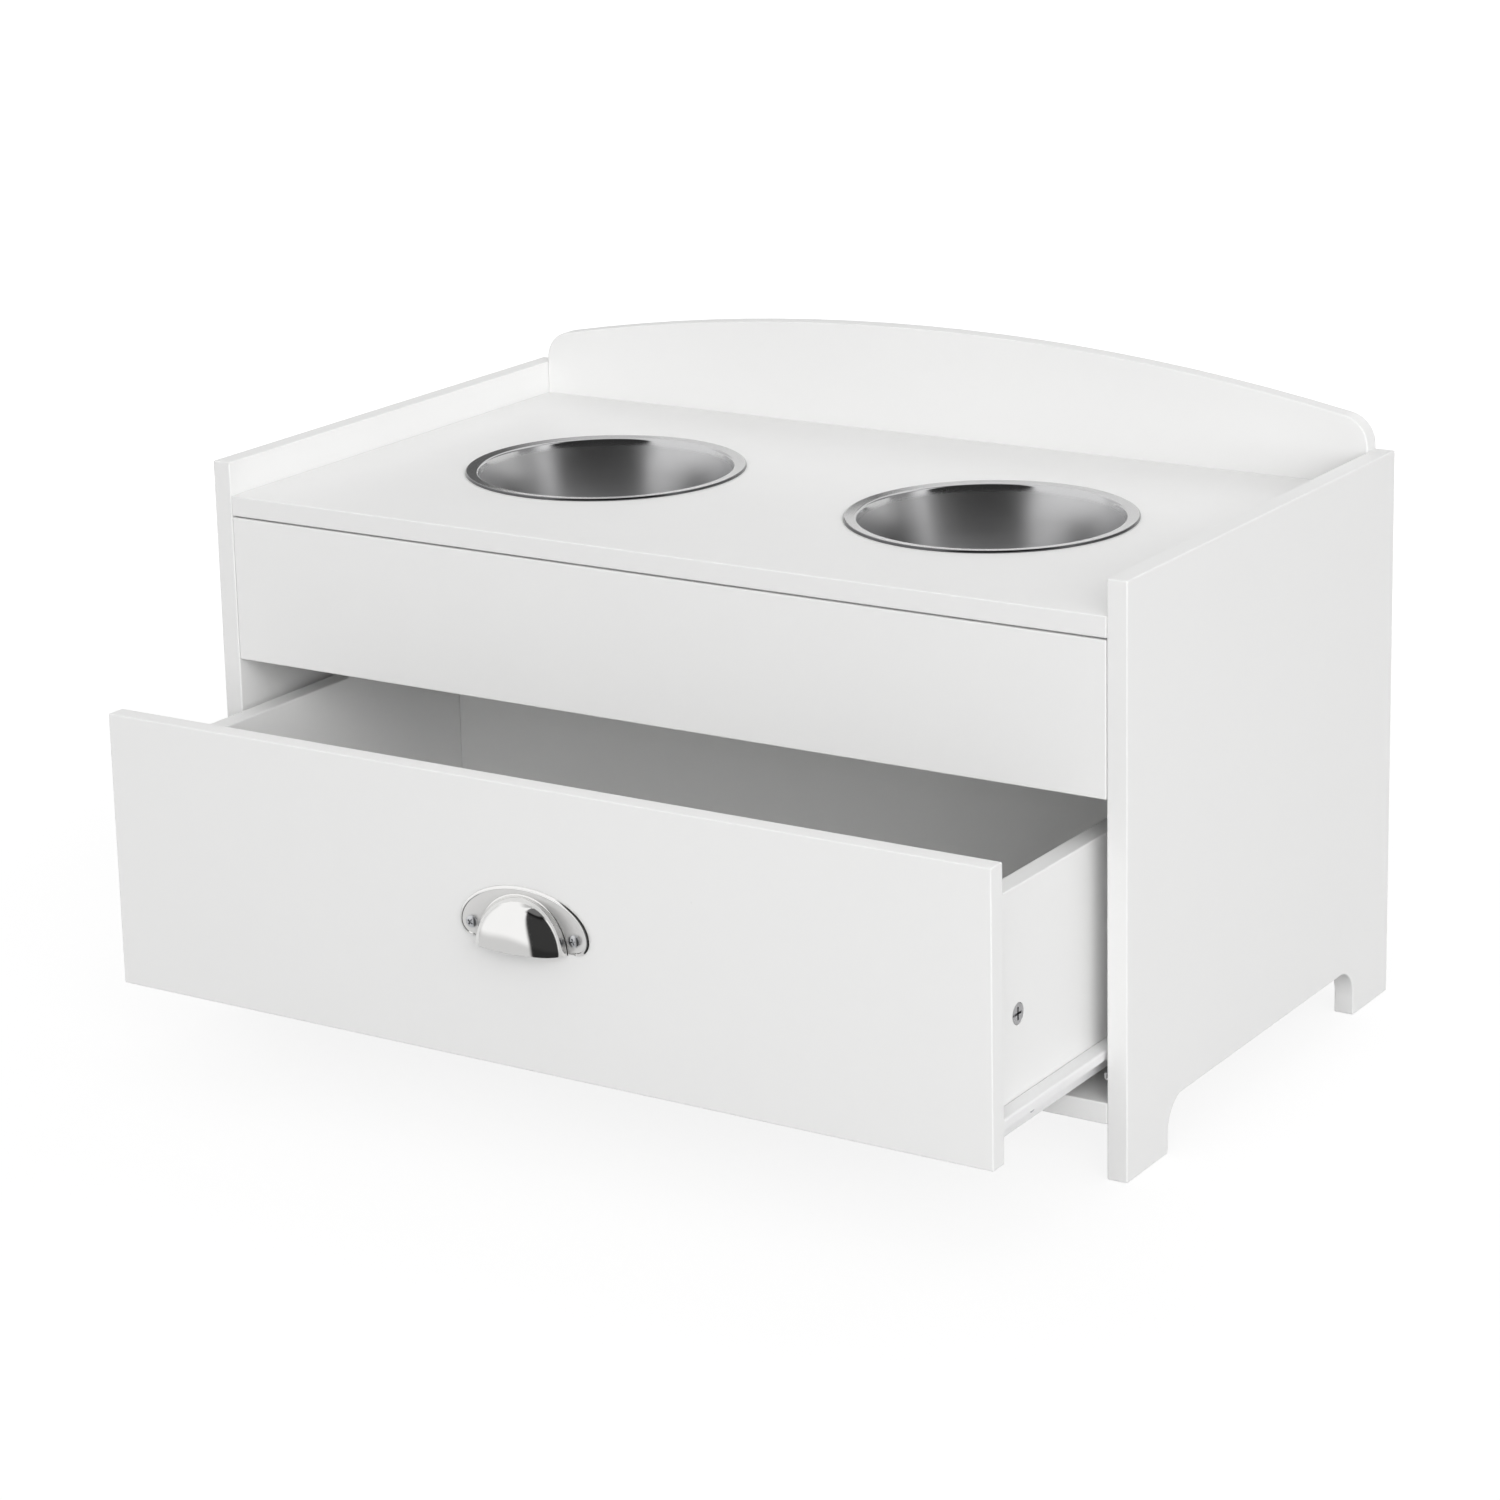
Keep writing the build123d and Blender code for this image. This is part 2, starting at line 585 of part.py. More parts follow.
# ---- drawer joinery ---------------------------------------------------------
drawer_cam_z = box_z + DRAWER_CAM_RISE
drawer_cam = CamJoint((box_outer, BOARD + CAM_SETBACK, drawer_cam_z), RIGHT, FRONT)
box_wall_x = box_outer - BOARD / 2
low_dowel_z = box_floor + PANEL + DOWEL_FROM_EDGE
drawer_dowels = [
    Dowel((box_wall_x, BOARD, z), FRONT) for z in (low_dowel_z, box_top - DOWEL_FROM_EDGE)
]
drawer_back_z = box_floor + PANEL + GROOVE_FIT
back_screw_z = [drawer_back_z + BACK_SCREW_FROM_EDGE, box_top - BACK_SCREW_FROM_EDGE]
back_board_y = box_back - BOARD / 2


def sunk_screw(z, length):
    """A countersunk form through a drawer side into the end of the drawer back."""
    start = (box_outer, back_board_y, z)
    head = Plane(origin=start, z_dir=LEFT) * Cone(
        BACK_SCREW_HEAD,
        BACK_SCREW_SHANK,
        BACK_SCREW_SINK,
        align=(Align.CENTER, Align.CENTER, Align.MIN),
    )
    return head + rod(start, LEFT, BACK_SCREW_SHANK, length)


def back_screw(z):
    return sunk_screw(z, BACK_SCREW_LENGTH) - phillips((box_outer, back_board_y, z), LEFT)


def back_screw_hole(z):
    return sunk_screw(z, BACK_SCREW_LENGTH + HOLE_SPARE)


# ---- drawer front -----------------------------------------------------------
pull_half = PULL_SCREW_SPACING / 2
pull_screw_at = [(x, -PULL_FLANGE, pull_z) for x in (-pull_half, pull_half)]
drawer_front = board(-front_half, front_half, 0, BOARD, front_z, front_top)
drawer_front -= block(
    -box_inner - GROOVE_DEPTH,
    box_inner + GROOVE_DEPTH,
    BOARD - GROOVE_DEPTH,
    BOARD + 1,
    box_floor_mid - groove_half,
    box_floor_mid + groove_half,
)
for cut in both([drawer_cam.thread_hole()] + [d.hole() for d in drawer_dowels]):
    drawer_front -= cut
for point in pull_screw_at:
    drawer_front -= rod(point, BACK, PULL_SCREW_SHANK, PULL_SCREW_LENGTH + HOLE_SPARE)
write("drawer_front", drawer_front, to_drawer)

# ---- drawer sides -----------------------------------------------------------
carrier_screw_y = slide_rows(BOARD, box_back)
carrier_screw_z = carrier_z + SLIDE_SCREW_RISE
drawer_side = board(box_inner, box_outer, BOARD, box_back, box_z, box_top)
drawer_side -= block(
    box_inner - 1,
    box_inner + GROOVE_DEPTH,
    BOARD - 1,
    box_back + 1,
    box_floor_mid - groove_half,
    box_floor_mid + groove_half,
)
drawer_side -= drawer_cam.pocket()
for dowel in drawer_dowels:
    drawer_side -= dowel.hole()
for z in back_screw_z:
    drawer_side -= back_screw_hole(z)
for y in carrier_screw_y:
    drawer_side -= slide_pilot(carrier_face, y, carrier_screw_z, LEFT)
write("drawer_right_side", drawer_side, to_drawer)
write("drawer_left_side", mirrored(drawer_side), to_drawer)

# ---- drawer back and bottom -------------------------------------------------
drawer_back = board(
    -box_inner, box_inner, box_back - BOARD, box_back, drawer_back_z, box_top
)
for cut in both([back_screw_hole(z) for z in back_screw_z]):
    drawer_back -= cut
write("drawer_back", drawer_back, to_drawer)
drawer_bottom = block(
    -box_inner - tongue,
    box_inner + tongue,
    BOARD - tongue,
    box_back,
    box_floor,
    box_floor + PANEL,
)
write("drawer_bottom", drawer_bottom, to_drawer)

# ---- drawer fittings --------------------------------------------------------
write("drawer_cam_locks", both([drawer_cam.cam()]), to_drawer)
write("drawer_cam_bolts", both([drawer_cam.bolt()]), to_drawer)
write("drawer_dowels", both([d.pin() for d in drawer_dowels]), to_drawer)
write("drawer_back_screws", both([back_screw(z) for z in back_screw_z]), to_drawer)

# ---- drawer slide members ---------------------------------------------------
carrier = block(box_outer, carrier_face, BOARD, box_back, carrier_z, carrier_top)
carrier += block(
    box_outer - CARRIER_LEDGE, carrier_face, BOARD, box_back, carrier_z, carrier_z + STEEL
)
carrier += block(box_outer, carrier_edge, BOARD, box_back, flange_under, carrier_top)
carrier += block(carrier_edge - STEEL, carrier_edge, BOARD, box_back, carrier_lip_z, carrier_top)
outside = [(carrier_face, carrier_z), (box_outer, carrier_top), (carrier_edge, carrier_top)]
carrier = bent(carrier, outside, BEND)
inside = [
    (box_outer, carrier_z + STEEL),
    (carrier_face, flange_under),
    (carrier_edge - STEEL, flange_under),
]
carrier = bent(carrier, inside, BEND_INSIDE)
carrier += block(
    box_outer,
    carrier_face,
    box_back - 2 * AXLE_FROM_END,
    box_back,
    carrier_z - CARRIER_TAB,
    flange_under,
)
for y in carrier_screw_y:
    carrier -= slide_pilot(carrier_face, y, carrier_screw_z, LEFT)
carrier -= rod((box_outer - 1, rear_axle_y, rear_axle_z), RIGHT, AXLE_RADIUS, STEEL + 2)
write("right_drawer_slide", carrier, to_drawer)
write("left_drawer_slide", mirrored(carrier), to_drawer)
carrier_screws = [slide_screw(carrier_face, y, carrier_screw_z, LEFT) for y in carrier_screw_y]
write("drawer_slide_screws", both(carrier_screws), to_drawer)

rear_axle = turned(
    (box_outer, rear_axle_y, rear_axle_z),
    RIGHT,
    [
        (AXLE_RADIUS, STEEL),
        (AXLE_SHOULDER, roller_in - AXLE_END_PLAY - carrier_face),
        (AXLE_RADIUS, ROLLER_WIDTH + 2 * AXLE_END_PLAY),
        (AXLE_HEAD, AXLE_HEAD_THICK),
    ],
)
write("drawer_roller_axles", both([rear_axle]), to_drawer)

# ---- cup pull ---------------------------------------------------------------
# The flange is drawn looking at the drawer front, with x to the right.
front_plane = Plane(origin=(0, 0, 0), x_dir=RIGHT, z_dir=FRONT)
lobe_end = pull_half + PULL_LOBE
upper = EllipticalCenterArc((0, pull_z), lobe_end, PULL_ARCH, start_angle=0, arc_size=180)
right_lobe = ThreePointArc(
    (pull_half, pull_base),
    (pull_half + PULL_LOBE * math.sin(math.pi / 4), pull_z - PULL_LOBE * math.cos(math.pi / 4)),
    (lobe_end, pull_z),
)
left_lobe = mirror(right_lobe, about=Plane.YZ)
base_line = Line((-pull_half, pull_base), (pull_half, pull_base))
flange_outline = make_face([upper, right_lobe, left_lobe, base_line])
flange = extrude(front_plane * flange_outline, PULL_FLANGE)
rim = flange.faces().sort_by(Axis.Y)[0].edges()
flange = chamfer(rim, PULL_BEVEL)


def cup_form(radius, reach):
    """Half of a full-shouldered dome about the way out of the drawer front."""
    full = PULL_CUP_FULLNESS
    profile = make_face(
        [
            Bezier((radius, 0), (radius, reach * full), (radius * full, reach), (0, reach)),
            Line((0, reach), (0, 0)),
            Line((0, 0), (radius, 0)),
        ]
    )
    dome = revolve(Plane.XY * profile, Axis.Y, 180)
    return dome


def placed_cup(radius, reach):
    """The dome with its flat side down, reaching out of the flange."""
    dome = cup_form(radius, reach)
    turned_out = Rot(180, 0, 0) * dome
    return Pos(0, -PULL_FLANGE, pull_base) * turned_out


cup_inner = PULL_CUP_RADIUS - PULL_WALL
cup = placed_cup(PULL_CUP_RADIUS, PULL_CUP_REACH)
lip_tilt = math.degrees(math.atan(PULL_LIP_RISE / PULL_CUP_REACH))
under_lip = block(-PULL_CUP_RADIUS - 1, PULL_CUP_RADIUS + 1, -2 * PULL_CUP_REACH, 0, -5, 0)
cup -= Pos(0, -PULL_FLANGE, pull_base) * Rot(-lip_tilt, 0, 0) * under_lip
hollow = placed_cup(cup_inner, PULL_CUP_REACH - PULL_WALL)
hollow += rod((0, -PULL_FLANGE, pull_base), BACK, cup_inner, PULL_FLANGE)
bead_radius = PULL_CUP_RADIUS + PULL_BEAD
bead = Cylinder(bead_radius, PULL_BEAD, align=(Align.CENTER, Align.CENTER, Align.MIN))
bead = chamfer(bead.edges().group_by(Axis.Z)[-1], PULL_BEAD * 0.6)
bead = Plane(origin=(0, -PULL_FLANGE, pull_base), x_dir=RIGHT, z_dir=FRONT) * bead
bead &= block(-bead_radius, bead_radius, -2 * PULL_FLANGE, 0, pull_base, pull_base + bead_radius)
pull = flange + bead + cup - hollow
for point in pull_screw_at:
    pull -= rod(spaced(point, FRONT, 1), BACK, PULL_SCREW_SHANK, PULL_FLANGE + 2)
write("cup_pull", pull, to_drawer)


def pull_screw(point):
    """A pan-headed screw with a cross recess, its head on the flange."""
    tip = spaced(point, FRONT, PULL_SCREW_HEAD_HEIGHT)
    head = rod(tip, BACK, PULL_SCREW_HEAD, PULL_SCREW_HEAD_HEIGHT)
    crown = head.faces().sort_by(Axis.Y)[0].edges()
    head = fillet(crown, PULL_SCREW_HEAD_HEIGHT * 0.6)
    return head + rod(point, BACK, PULL_SCREW_SHANK, PULL_SCREW_LENGTH) - phillips(tip, BACK)


write("cup_pull_screws", [pull_screw(p) for p in pull_screw_at], to_drawer)

# ---- bowls ------------------------------------------------------------------
# One drawn shell, turned about its own axis: x is the radius, y is the height.
rim_top = table_z + BOWL_RIM_RISE
bowl_base = rim_top - BOWL_DEPTH


def bowl_shape(grow):
    """Half of the bowl's section, grown outward by the wall."""
    low = bowl_base + BOWL_WALL - grow
    rough = make_face(
        Polyline(
            (0, low),
            (BOWL_BASE_RADIUS + grow, low),
            (BOWL_MOUTH_RADIUS + grow, rim_top),
            (0, rim_top),
            close=True,
        )
    )
    corner = rough.vertices().filter_by(lambda v: v.X > 1).sort_by(Axis.Y)[0]
    return fillet(corner, BOWL_CURVE + grow)


shell = bowl_shape(BOWL_WALL) - bowl_shape(0)
rim_flat = Pos(0, rim_top - BOWL_WALL / 2) * Rectangle(2 * BOWL_RIM_RADIUS, BOWL_WALL)
rim_flat -= Pos(0, rim_top - BOWL_WALL / 2) * Rectangle(2 * BOWL_MOUTH_RADIUS, 2 * BOWL_WALL)
rim_flat &= Pos(BOWL_RIM_RADIUS, rim_top) * Rectangle(2 * BOWL_RIM_RADIUS, 4)
rim_edge = Pos(BOWL_RIM_RADIUS - BOWL_WALL / 2, (rim_top + table_z) / 2) * Rectangle(
    BOWL_WALL, BOWL_RIM_RISE
)
section = shell + rim_flat + rim_edge
outer_corner = section.vertices().group_by(Axis.Y)[-1].sort_by(Axis.X)[-1]
section = fillet(outer_corner, BOWL_RIM_ROLL)
mouth_corner = section.vertices().group_by(Axis.Y)[-1].sort_by(Axis.X)[0]
section = fillet(mouth_corner, BOWL_MOUTH_ROLL)
for name, x in zip(("left_bowl", "right_bowl"), bowl_centres):
    half = Plane(origin=(x, BOWL_FROM_FRONT, 0), x_dir=RIGHT, z_dir=FRONT) * section
    bowl = revolve(half, Axis((x, BOWL_FROM_FRONT, 0), UP), 360)
    write(name, bowl, to_cabinet)
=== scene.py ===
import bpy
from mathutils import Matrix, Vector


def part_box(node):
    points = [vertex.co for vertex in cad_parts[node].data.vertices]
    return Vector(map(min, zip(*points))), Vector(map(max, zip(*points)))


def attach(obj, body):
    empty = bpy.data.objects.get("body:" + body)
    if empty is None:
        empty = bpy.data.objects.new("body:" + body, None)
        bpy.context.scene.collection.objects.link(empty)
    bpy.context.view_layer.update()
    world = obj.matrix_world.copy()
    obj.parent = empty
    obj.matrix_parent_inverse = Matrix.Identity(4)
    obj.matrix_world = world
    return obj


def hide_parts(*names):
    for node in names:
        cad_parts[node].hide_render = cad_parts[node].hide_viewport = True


bl_info = {
    "name": "Elevated dog feeder with storage",
    "version": (1, 0, 0),
    "blender": (4, 5, 0),
    "location": "3D View > Sidebar > Feeder",
    "description": "Finishes a raised two-bowl feeding cabinet with a drawer and sets its studio",
    "category": "Object",
}

import math

import bmesh
import bpy
from bpy.props import (
    FloatProperty,
    FloatVectorProperty,
    IntProperty,
    PointerProperty,
)
from mathutils import Matrix, Vector

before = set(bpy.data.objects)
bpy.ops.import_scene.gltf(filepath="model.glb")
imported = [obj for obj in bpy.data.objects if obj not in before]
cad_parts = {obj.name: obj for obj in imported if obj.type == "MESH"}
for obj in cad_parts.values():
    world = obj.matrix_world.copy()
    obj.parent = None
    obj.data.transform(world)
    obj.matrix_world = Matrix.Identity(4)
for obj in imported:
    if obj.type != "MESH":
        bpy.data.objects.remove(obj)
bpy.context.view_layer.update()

UP = Vector((0, 0, 1))
DOWN = Vector((0, 0, -1))
FRONT = Vector((0, -1, 0))
BACK = Vector((0, 1, 0))


# ---- sizes and colours a user would change ----------------------------------
def number(name, text, default, **more):
    return FloatProperty(name=name, description=text, default=default, **more)


def length(name, text, default):
    return number(name, text, default, unit="LENGTH", precision=5)


def angle(name, text, default):
    return number(name, text, default, subtype="ANGLE")


def share(name, text, default):
    return number(name, text, default, subtype="FACTOR", min=0, max=1)


def tint(name, text, default):
    return FloatVectorProperty(
        name=name, description=text, default=default, subtype="COLOR", size=3, min=0, max=1
    )


class BowlSizes(bpy.types.PropertyGroup):
    rim: length("Rim radius", "Outside radius of the flat rim", 0.0840)
    mouth: length("Mouth radius", "Inside radius at the top of the wall", 0.0765)
    base: length("Base radius", "Inside radius at the foot of the wall", 0.0620)
    depth: length("Depth", "Top of the rim to the underside of the base", 0.0550)
    wall: length("Wall", "Thickness of the drawn steel", 0.0008)
    base_curve: length("Base curve", "Inside radius between base and wall", 0.0200)
    mouth_turn: length("Mouth turn", "Rounding from the rim into the bowl", 0.0016)
    rim_hem: length("Rim hem", "Radius of the hem rolled round the rim's outer edge", 0.0011)
    rim_fall: length("Rim fall", "How far the rim's band slopes down to the mouth", 0.0006)
    rim_drop: length("Rim drop", "Height of the rim's turned-down edge", 0.0015)
    segments: IntProperty(name="Segments", description="Faces round the bowl", default=160, min=48)


class PullSizes(bpy.types.PropertyGroup):
    screw_spacing: length("Screw spacing", "Centre to centre of the two screws", 0.0673)
    lobe: length("Lobe radius", "Rounded ends of the flange", 0.0087)
    arch: length("Arch height", "Screw line to the top of the flange", 0.0243)
    flange: length("Flange thickness", "Thickness of the flange", 0.0020)
    bevel: length("Flange bevel", "Fall of the sloped edge round the flange", 0.0009)
    bevel_width: length("Bevel width", "Width of that sloped edge", 0.0016)
    cup: length("Cup radius", "Half width and height of the cup", 0.0286)
    reach: length("Cup reach", "How far the cup stands out of the flange", 0.0155)
    fullness: share("Cup fullness", "0.55 gives a half ellipse in section, 1 a box", 0.66)
    lip_rise: length("Lip rise", "Front of the cup's lip above its two ends", 0.0009)
    wall: length("Cup wall", "Thickness of the cast cup", 0.0013)
    bead: length("Foot bead", "Raised bead round the foot of the cup", 0.0008)


class ScrewSizes(bpy.types.PropertyGroup):
    pan_radius: length("Pan head radius", "Screws of the cup pull", 0.0034)
    pan_height: length("Pan head height", "Screws of the cup pull", 0.0020)
    flat_radius: length("Flat head radius", "Screws of the slides", 0.0035)
    flat_height: length("Flat head height", "Screws of the slides", 0.0010)
    sunk_radius: length("Sunk head radius", "Screws into the drawer back", 0.0035)
    sunk_depth: length("Countersink", "Screws into the drawer back", 0.0020)
    recess_reach: length("Recess reach", "Half length of the cross recess", 0.0019)
    recess_width: length("Recess width", "Width of one arm of the cross", 0.0009)
    recess_depth: length("Recess depth", "Depth of the cross recess", 0.0012)
    cam_reach: length("Cam recess reach", "Half length of a cam lock's cross", 0.0036)
    cam_width: length("Cam recess width", "Width of one arm of that cross", 0.0014)
    cam_depth: length("Cam recess depth", "Depth of that cross", 0.0016)


class FinishColours(bpy.types.PropertyGroup):
    lacquer: tint("Lacquer", "Sprayed face of the boards", (0.86, 0.86, 0.856))
    lacquer_edge: tint("Lacquered edge", "Sprayed edge of the boards", (0.845, 0.845, 0.842))
    hardboard: tint("Hardboard", "Painted thin panels", (0.84, 0.84, 0.83))
    coated_steel: tint("Coated steel", "Powder-coated slides", (0.85, 0.85, 0.853))
    steel: tint("Stainless steel", "Drawn and polished bowls", (0.62, 0.62, 0.626))
    nickel: tint("Nickel", "Polished cup pull", (0.91, 0.905, 0.895))
    zinc: tint("Zinc", "Screws and axles", (0.66, 0.67, 0.69))
    cam: tint("Cam lock", "Nickel-plated zinc castings", (0.60, 0.60, 0.61))
    nylon: tint("Nylon", "Rollers", (0.80, 0.80, 0.78))
    beech: tint("Beech", "Dowels", (0.58, 0.40, 0.24))
    beech_dark: tint("Beech grain", "Darker lines in the dowels", (0.42, 0.26, 0.14))


class StudioSettings(bpy.types.PropertyGroup):
    camera: FloatVectorProperty(
        name="Camera", description="Where the camera stands", subtype="TRANSLATION", size=3,
        default=(1.243462, -1.922813, 0.870597),
    )
    azimuth: angle("Azimuth", "Camera to the right of the front", 0.561065)
    elevation: angle("Elevation", "Camera above the horizon", 0.246687)
    roll: angle("Roll", "Camera turned about its own axis", -0.020356)
    lens: number("Lens", "Focal length on a 36 mm sensor", 99.5516)
    shift: FloatVectorProperty(
        name="Shift", description="Picture moved on the sensor, in picture widths", size=2,
        default=(-0.026667, -0.140000),
    )
    ambient: number("Ambient", "Even light from all round", 0.5)
    lamps: number("Lamps", "Share of full power of all the lamps", 1.0)
    distance: length("Lamp distance", "From the cabinet to each lamp", 8.0)
    box: length("Lamp size", "Width and height of each lamp's soft box", 4.8)
    floor: tint("Floor", "Paper floor", (0.55, 0.55, 0.55))
    floor_lift: share("Floor lift", "How far the paper fades the shadow towards white", 0.72)
    floor_glow: number("Floor glow", "White of the faded paper", 1.2)


# ---- node trees -------------------------------------------------------------
class Wiring:
    """Adds nodes to a tree and feeds their sockets with values or other sockets."""

    def __init__(self, tree):
        self.tree = tree

    def add(self, kind, **settings):
        made = self.tree.nodes.new(kind)
        for key, value in settings.items():
            setattr(made, key, value)
        return made

    def feed(self, socket, value):
        if isinstance(value, bpy.types.NodeSocket):
            self.tree.links.new(value, socket)
        elif value is not None:
            socket.default_value = value

    def fill(self, made, *first, **named):
        """Feeds the first sockets of a node in their order, and others by name."""
        for socket, value in zip(made.inputs, first):
            self.feed(socket, value)
        for key, value in named.items():
            self.feed(made.inputs[key.replace("_", " ")], value)
        return made

    def put(self, kind, *first, **named):
        """The first output of a new node that is filled as given."""
        return self.fill(self.add(kind), *first, **named).outputs[0]

    def math(self, operation, *values, clamp=False):
        made = self.add("ShaderNodeMath", operation=operation, use_clamp=clamp)
        return self.fill(made, *values).outputs[0]

    def plus(self, a, b, clamp=False):
        return self.math("ADD", a, b, clamp=clamp)

    def minus(self, a, b):
        return self.math("SUBTRACT", a, b)

    def times(self, a, b):
        return self.math("MULTIPLY", a, b)

    def over(self, a, b):
        return self.math("DIVIDE", a, b)

    def vector(self, operation, *values):
        made = self.fill(self.add("ShaderNodeVectorMath", operation=operation), *values)
        return made.outputs["Value" if operation in ("DOT_PRODUCT", "LENGTH") else "Vector"]

    def split(self, value):
        return self.fill(self.add("ShaderNodeSeparateXYZ"), value).outputs

    def combine(self, x, y, z):
        return self.put("ShaderNodeCombineXYZ", x, y, z)

    def ramp(self, value, low, high, out_low=0.0, out_high=1.0, smooth=False):
        made = self.add("ShaderNodeMapRange")
        if smooth:
            made.interpolation_type = "SMOOTHSTEP"
        self.fill(
            made, Value=value, From_Min=low, From_Max=high, To_Min=out_low, To_Max=out_high
        )
        return made.outputs[0]

    def mix(self, share_of_b, a, b, blend="MIX"):
        made = self.add("ShaderNodeMix", data_type="RGBA", blend_type=blend)
        self.feed(made.inputs["Factor"], share_of_b)
        colours = [s for s in made.inputs if s.type == "RGBA"]
        self.feed(colours[0], a)
        self.feed(colours[1], b)
        return [s for s in made.outputs if s.type == "RGBA"][0]

    def shade(self, colour, tone):
        return self.mix(1.0, colour, self.combine(tone, tone, tone), "MULTIPLY")

    def noise(self, place, scale, detail=2.0, roughness=0.5):
        return self.put(
            "ShaderNodeTexNoise", Vector=place, Scale=scale, Detail=detail, Roughness=roughness
        )

    def bump(self, height, distance, normal=None):
        return self.put(
            "ShaderNodeBump", Strength=1.0, Distance=distance, Height=height, Normal=normal
        )

    def place(self):
        return self.add("ShaderNodeTexCoord").outputs["Object"]

    def true_normal(self):
        return self.add("ShaderNodeNewGeometry").outputs["True Normal"]

    def group(self, tree, **values):
        made = self.add("ShaderNodeGroup")
        made.node_tree = tree
        return self.fill(made, **values).outputs


def rgb(colour):
    return (colour[0], colour[1], colour[2], 1.0)


def socket_type(default):
    """Type of the socket for a colour, a vector, a whole number, a number or a type's name."""
    if isinstance(default, str):
        return "NodeSocket" + default
    if isinstance(default, tuple):
        return "NodeSocketColor" if len(default) == 4 else "NodeSocketVector"
    return "NodeSocketInt" if isinstance(default, int) else "NodeSocketFloat"


def new_tree(name, kind, outputs, **inputs):
    """A node group with named sockets: its wiring, the values it is given and its end node."""
    tree = bpy.data.node_groups.new(name, kind)
    for title, default in inputs.items():
        made = tree.interface.new_socket(
            name=title.replace("_", " "), in_out="INPUT", socket_type=socket_type(default)
        )
        if not isinstance(default, str):
            made.default_value = default
    for title, sort in outputs.items():
        tree.interface.new_socket(name=title, in_out="OUTPUT", socket_type=socket_type(sort))
    wires = Wiring(tree)
    return wires, wires.add("NodeGroupInput").outputs, wires.add("NodeGroupOutput")


def shared(name):
    """The node group of that name, built the first time it is asked for."""
    return bpy.data.node_groups.get(name) or TREES[name]()


# ---- effects that several finishes share ------------------------------------
GREY = (0.8, 0.8, 0.8, 1)
FILM = {"Colour": "Color", "Roughness": "Float"}
SURFACE = {**FILM, "Normal": "Vector"}


def sprayed_skin_group():
    """Orange peel, slow drift of tone, pin-prick dust nibs and softly duller edges."""
    wires, g, out = new_tree(
        "sprayed_skin", "ShaderNodeTree", SURFACE, Colour=GREY, Edge_Colour=GREY,
        Through=(0, 0, 1), Peel_Size=0.0014, Peel_Depth=0.000004, Drift=0.012, Roughness=0.4,
        Edge_Roughness=0.5,
    )
    place = wires.place()
    along = wires.math("ABSOLUTE", wires.vector("DOT_PRODUCT", wires.true_normal(), g["Through"]))
    edge = wires.ramp(along, 0.25, 0.9, 1.0, 0.0, smooth=True)

    slow = wires.noise(place, 5.0, 3.0, 0.5)
    cloud = wires.noise(place, 38.0, 4.0, 0.6)
    drift = wires.plus(slow, wires.times(cloud, 0.35))
    tone = wires.ramp(drift, 0.35, 1.0, wires.minus(1.0, g["Drift"]), 1.0)
    cells = wires.fill(wires.add("ShaderNodeTexVoronoi", feature="F1"), Vector=place, Scale=46.0)
    core = wires.ramp(cells.outputs["Distance"], 0.012, 0.026, 1.0, 0.0, smooth=True)
    chosen = wires.ramp(wires.split(cells.outputs["Color"])[0], 0.84, 0.86)
    nib = wires.times(core, chosen)
    tone = wires.minus(tone, wires.times(nib, 0.10))
    painted = wires.mix(edge, g["Colour"], g["Edge Colour"])

    rub = wires.noise(place, 17.0, 5.0, 0.65)
    face_rough = wires.plus(g["Roughness"], wires.ramp(rub, 0.3, 0.7, -0.03, 0.05))
    rough = wires.add("ShaderNodeMix", data_type="FLOAT")
    wires.fill(rough, edge, None, face_rough, g["Edge Roughness"])

    peel = wires.noise(place, wires.over(1.0, g["Peel Size"]), 2.0, 0.45)
    wires.fill(
        out, Colour=wires.shade(painted, tone), Roughness=rough.outputs[0],
        Normal=wires.bump(wires.plus(peel, nib), g["Peel Depth"]),
    )
    return wires.tree


def metal_lines_group():
    """Fine polishing lines along one coordinate, soft clouds of handling and small scratches."""
    wires, g, out = new_tree(
        "metal_lines", "ShaderNodeTree", SURFACE, Colour=(0.7, 0.7, 0.7, 1), Along=(0, 0, 0),
        Line_Size=0.0002, Line_Depth=0.000001, Roughness=0.2, Spread=0.06, Tone=0.04,
    )
    place = wires.place()
    lines = wires.noise(g["Along"], wires.over(1.0, g["Line Size"]), 3.0, 0.6)
    cloud = wires.noise(place, 60.0, 5.0, 0.62)
    scratch = wires.noise(wires.vector("MULTIPLY", place, (1.0, 0.06, 0.3)), 2600.0, 2.0, 0.5)
    marks = wires.ramp(scratch, 0.66, 0.74, smooth=True)
    line, haze = wires.minus(lines, 0.5), wires.minus(cloud, 0.5)
    tone = wires.minus(wires.times(line, g["Tone"]), wires.times(cloud, 0.03))
    uneven = wires.plus(wires.times(haze, g["Spread"]), wires.times(line, g["Spread"]))
    rough = wires.plus(g["Roughness"], uneven)
    wires.fill(
        out, Colour=wires.shade(g["Colour"], wires.plus(1.0, tone)),
        Roughness=wires.plus(rough, wires.times(marks, 0.05), clamp=True),
        Normal=wires.bump(lines, g["Line Depth"]),
    )
    return wires.tree


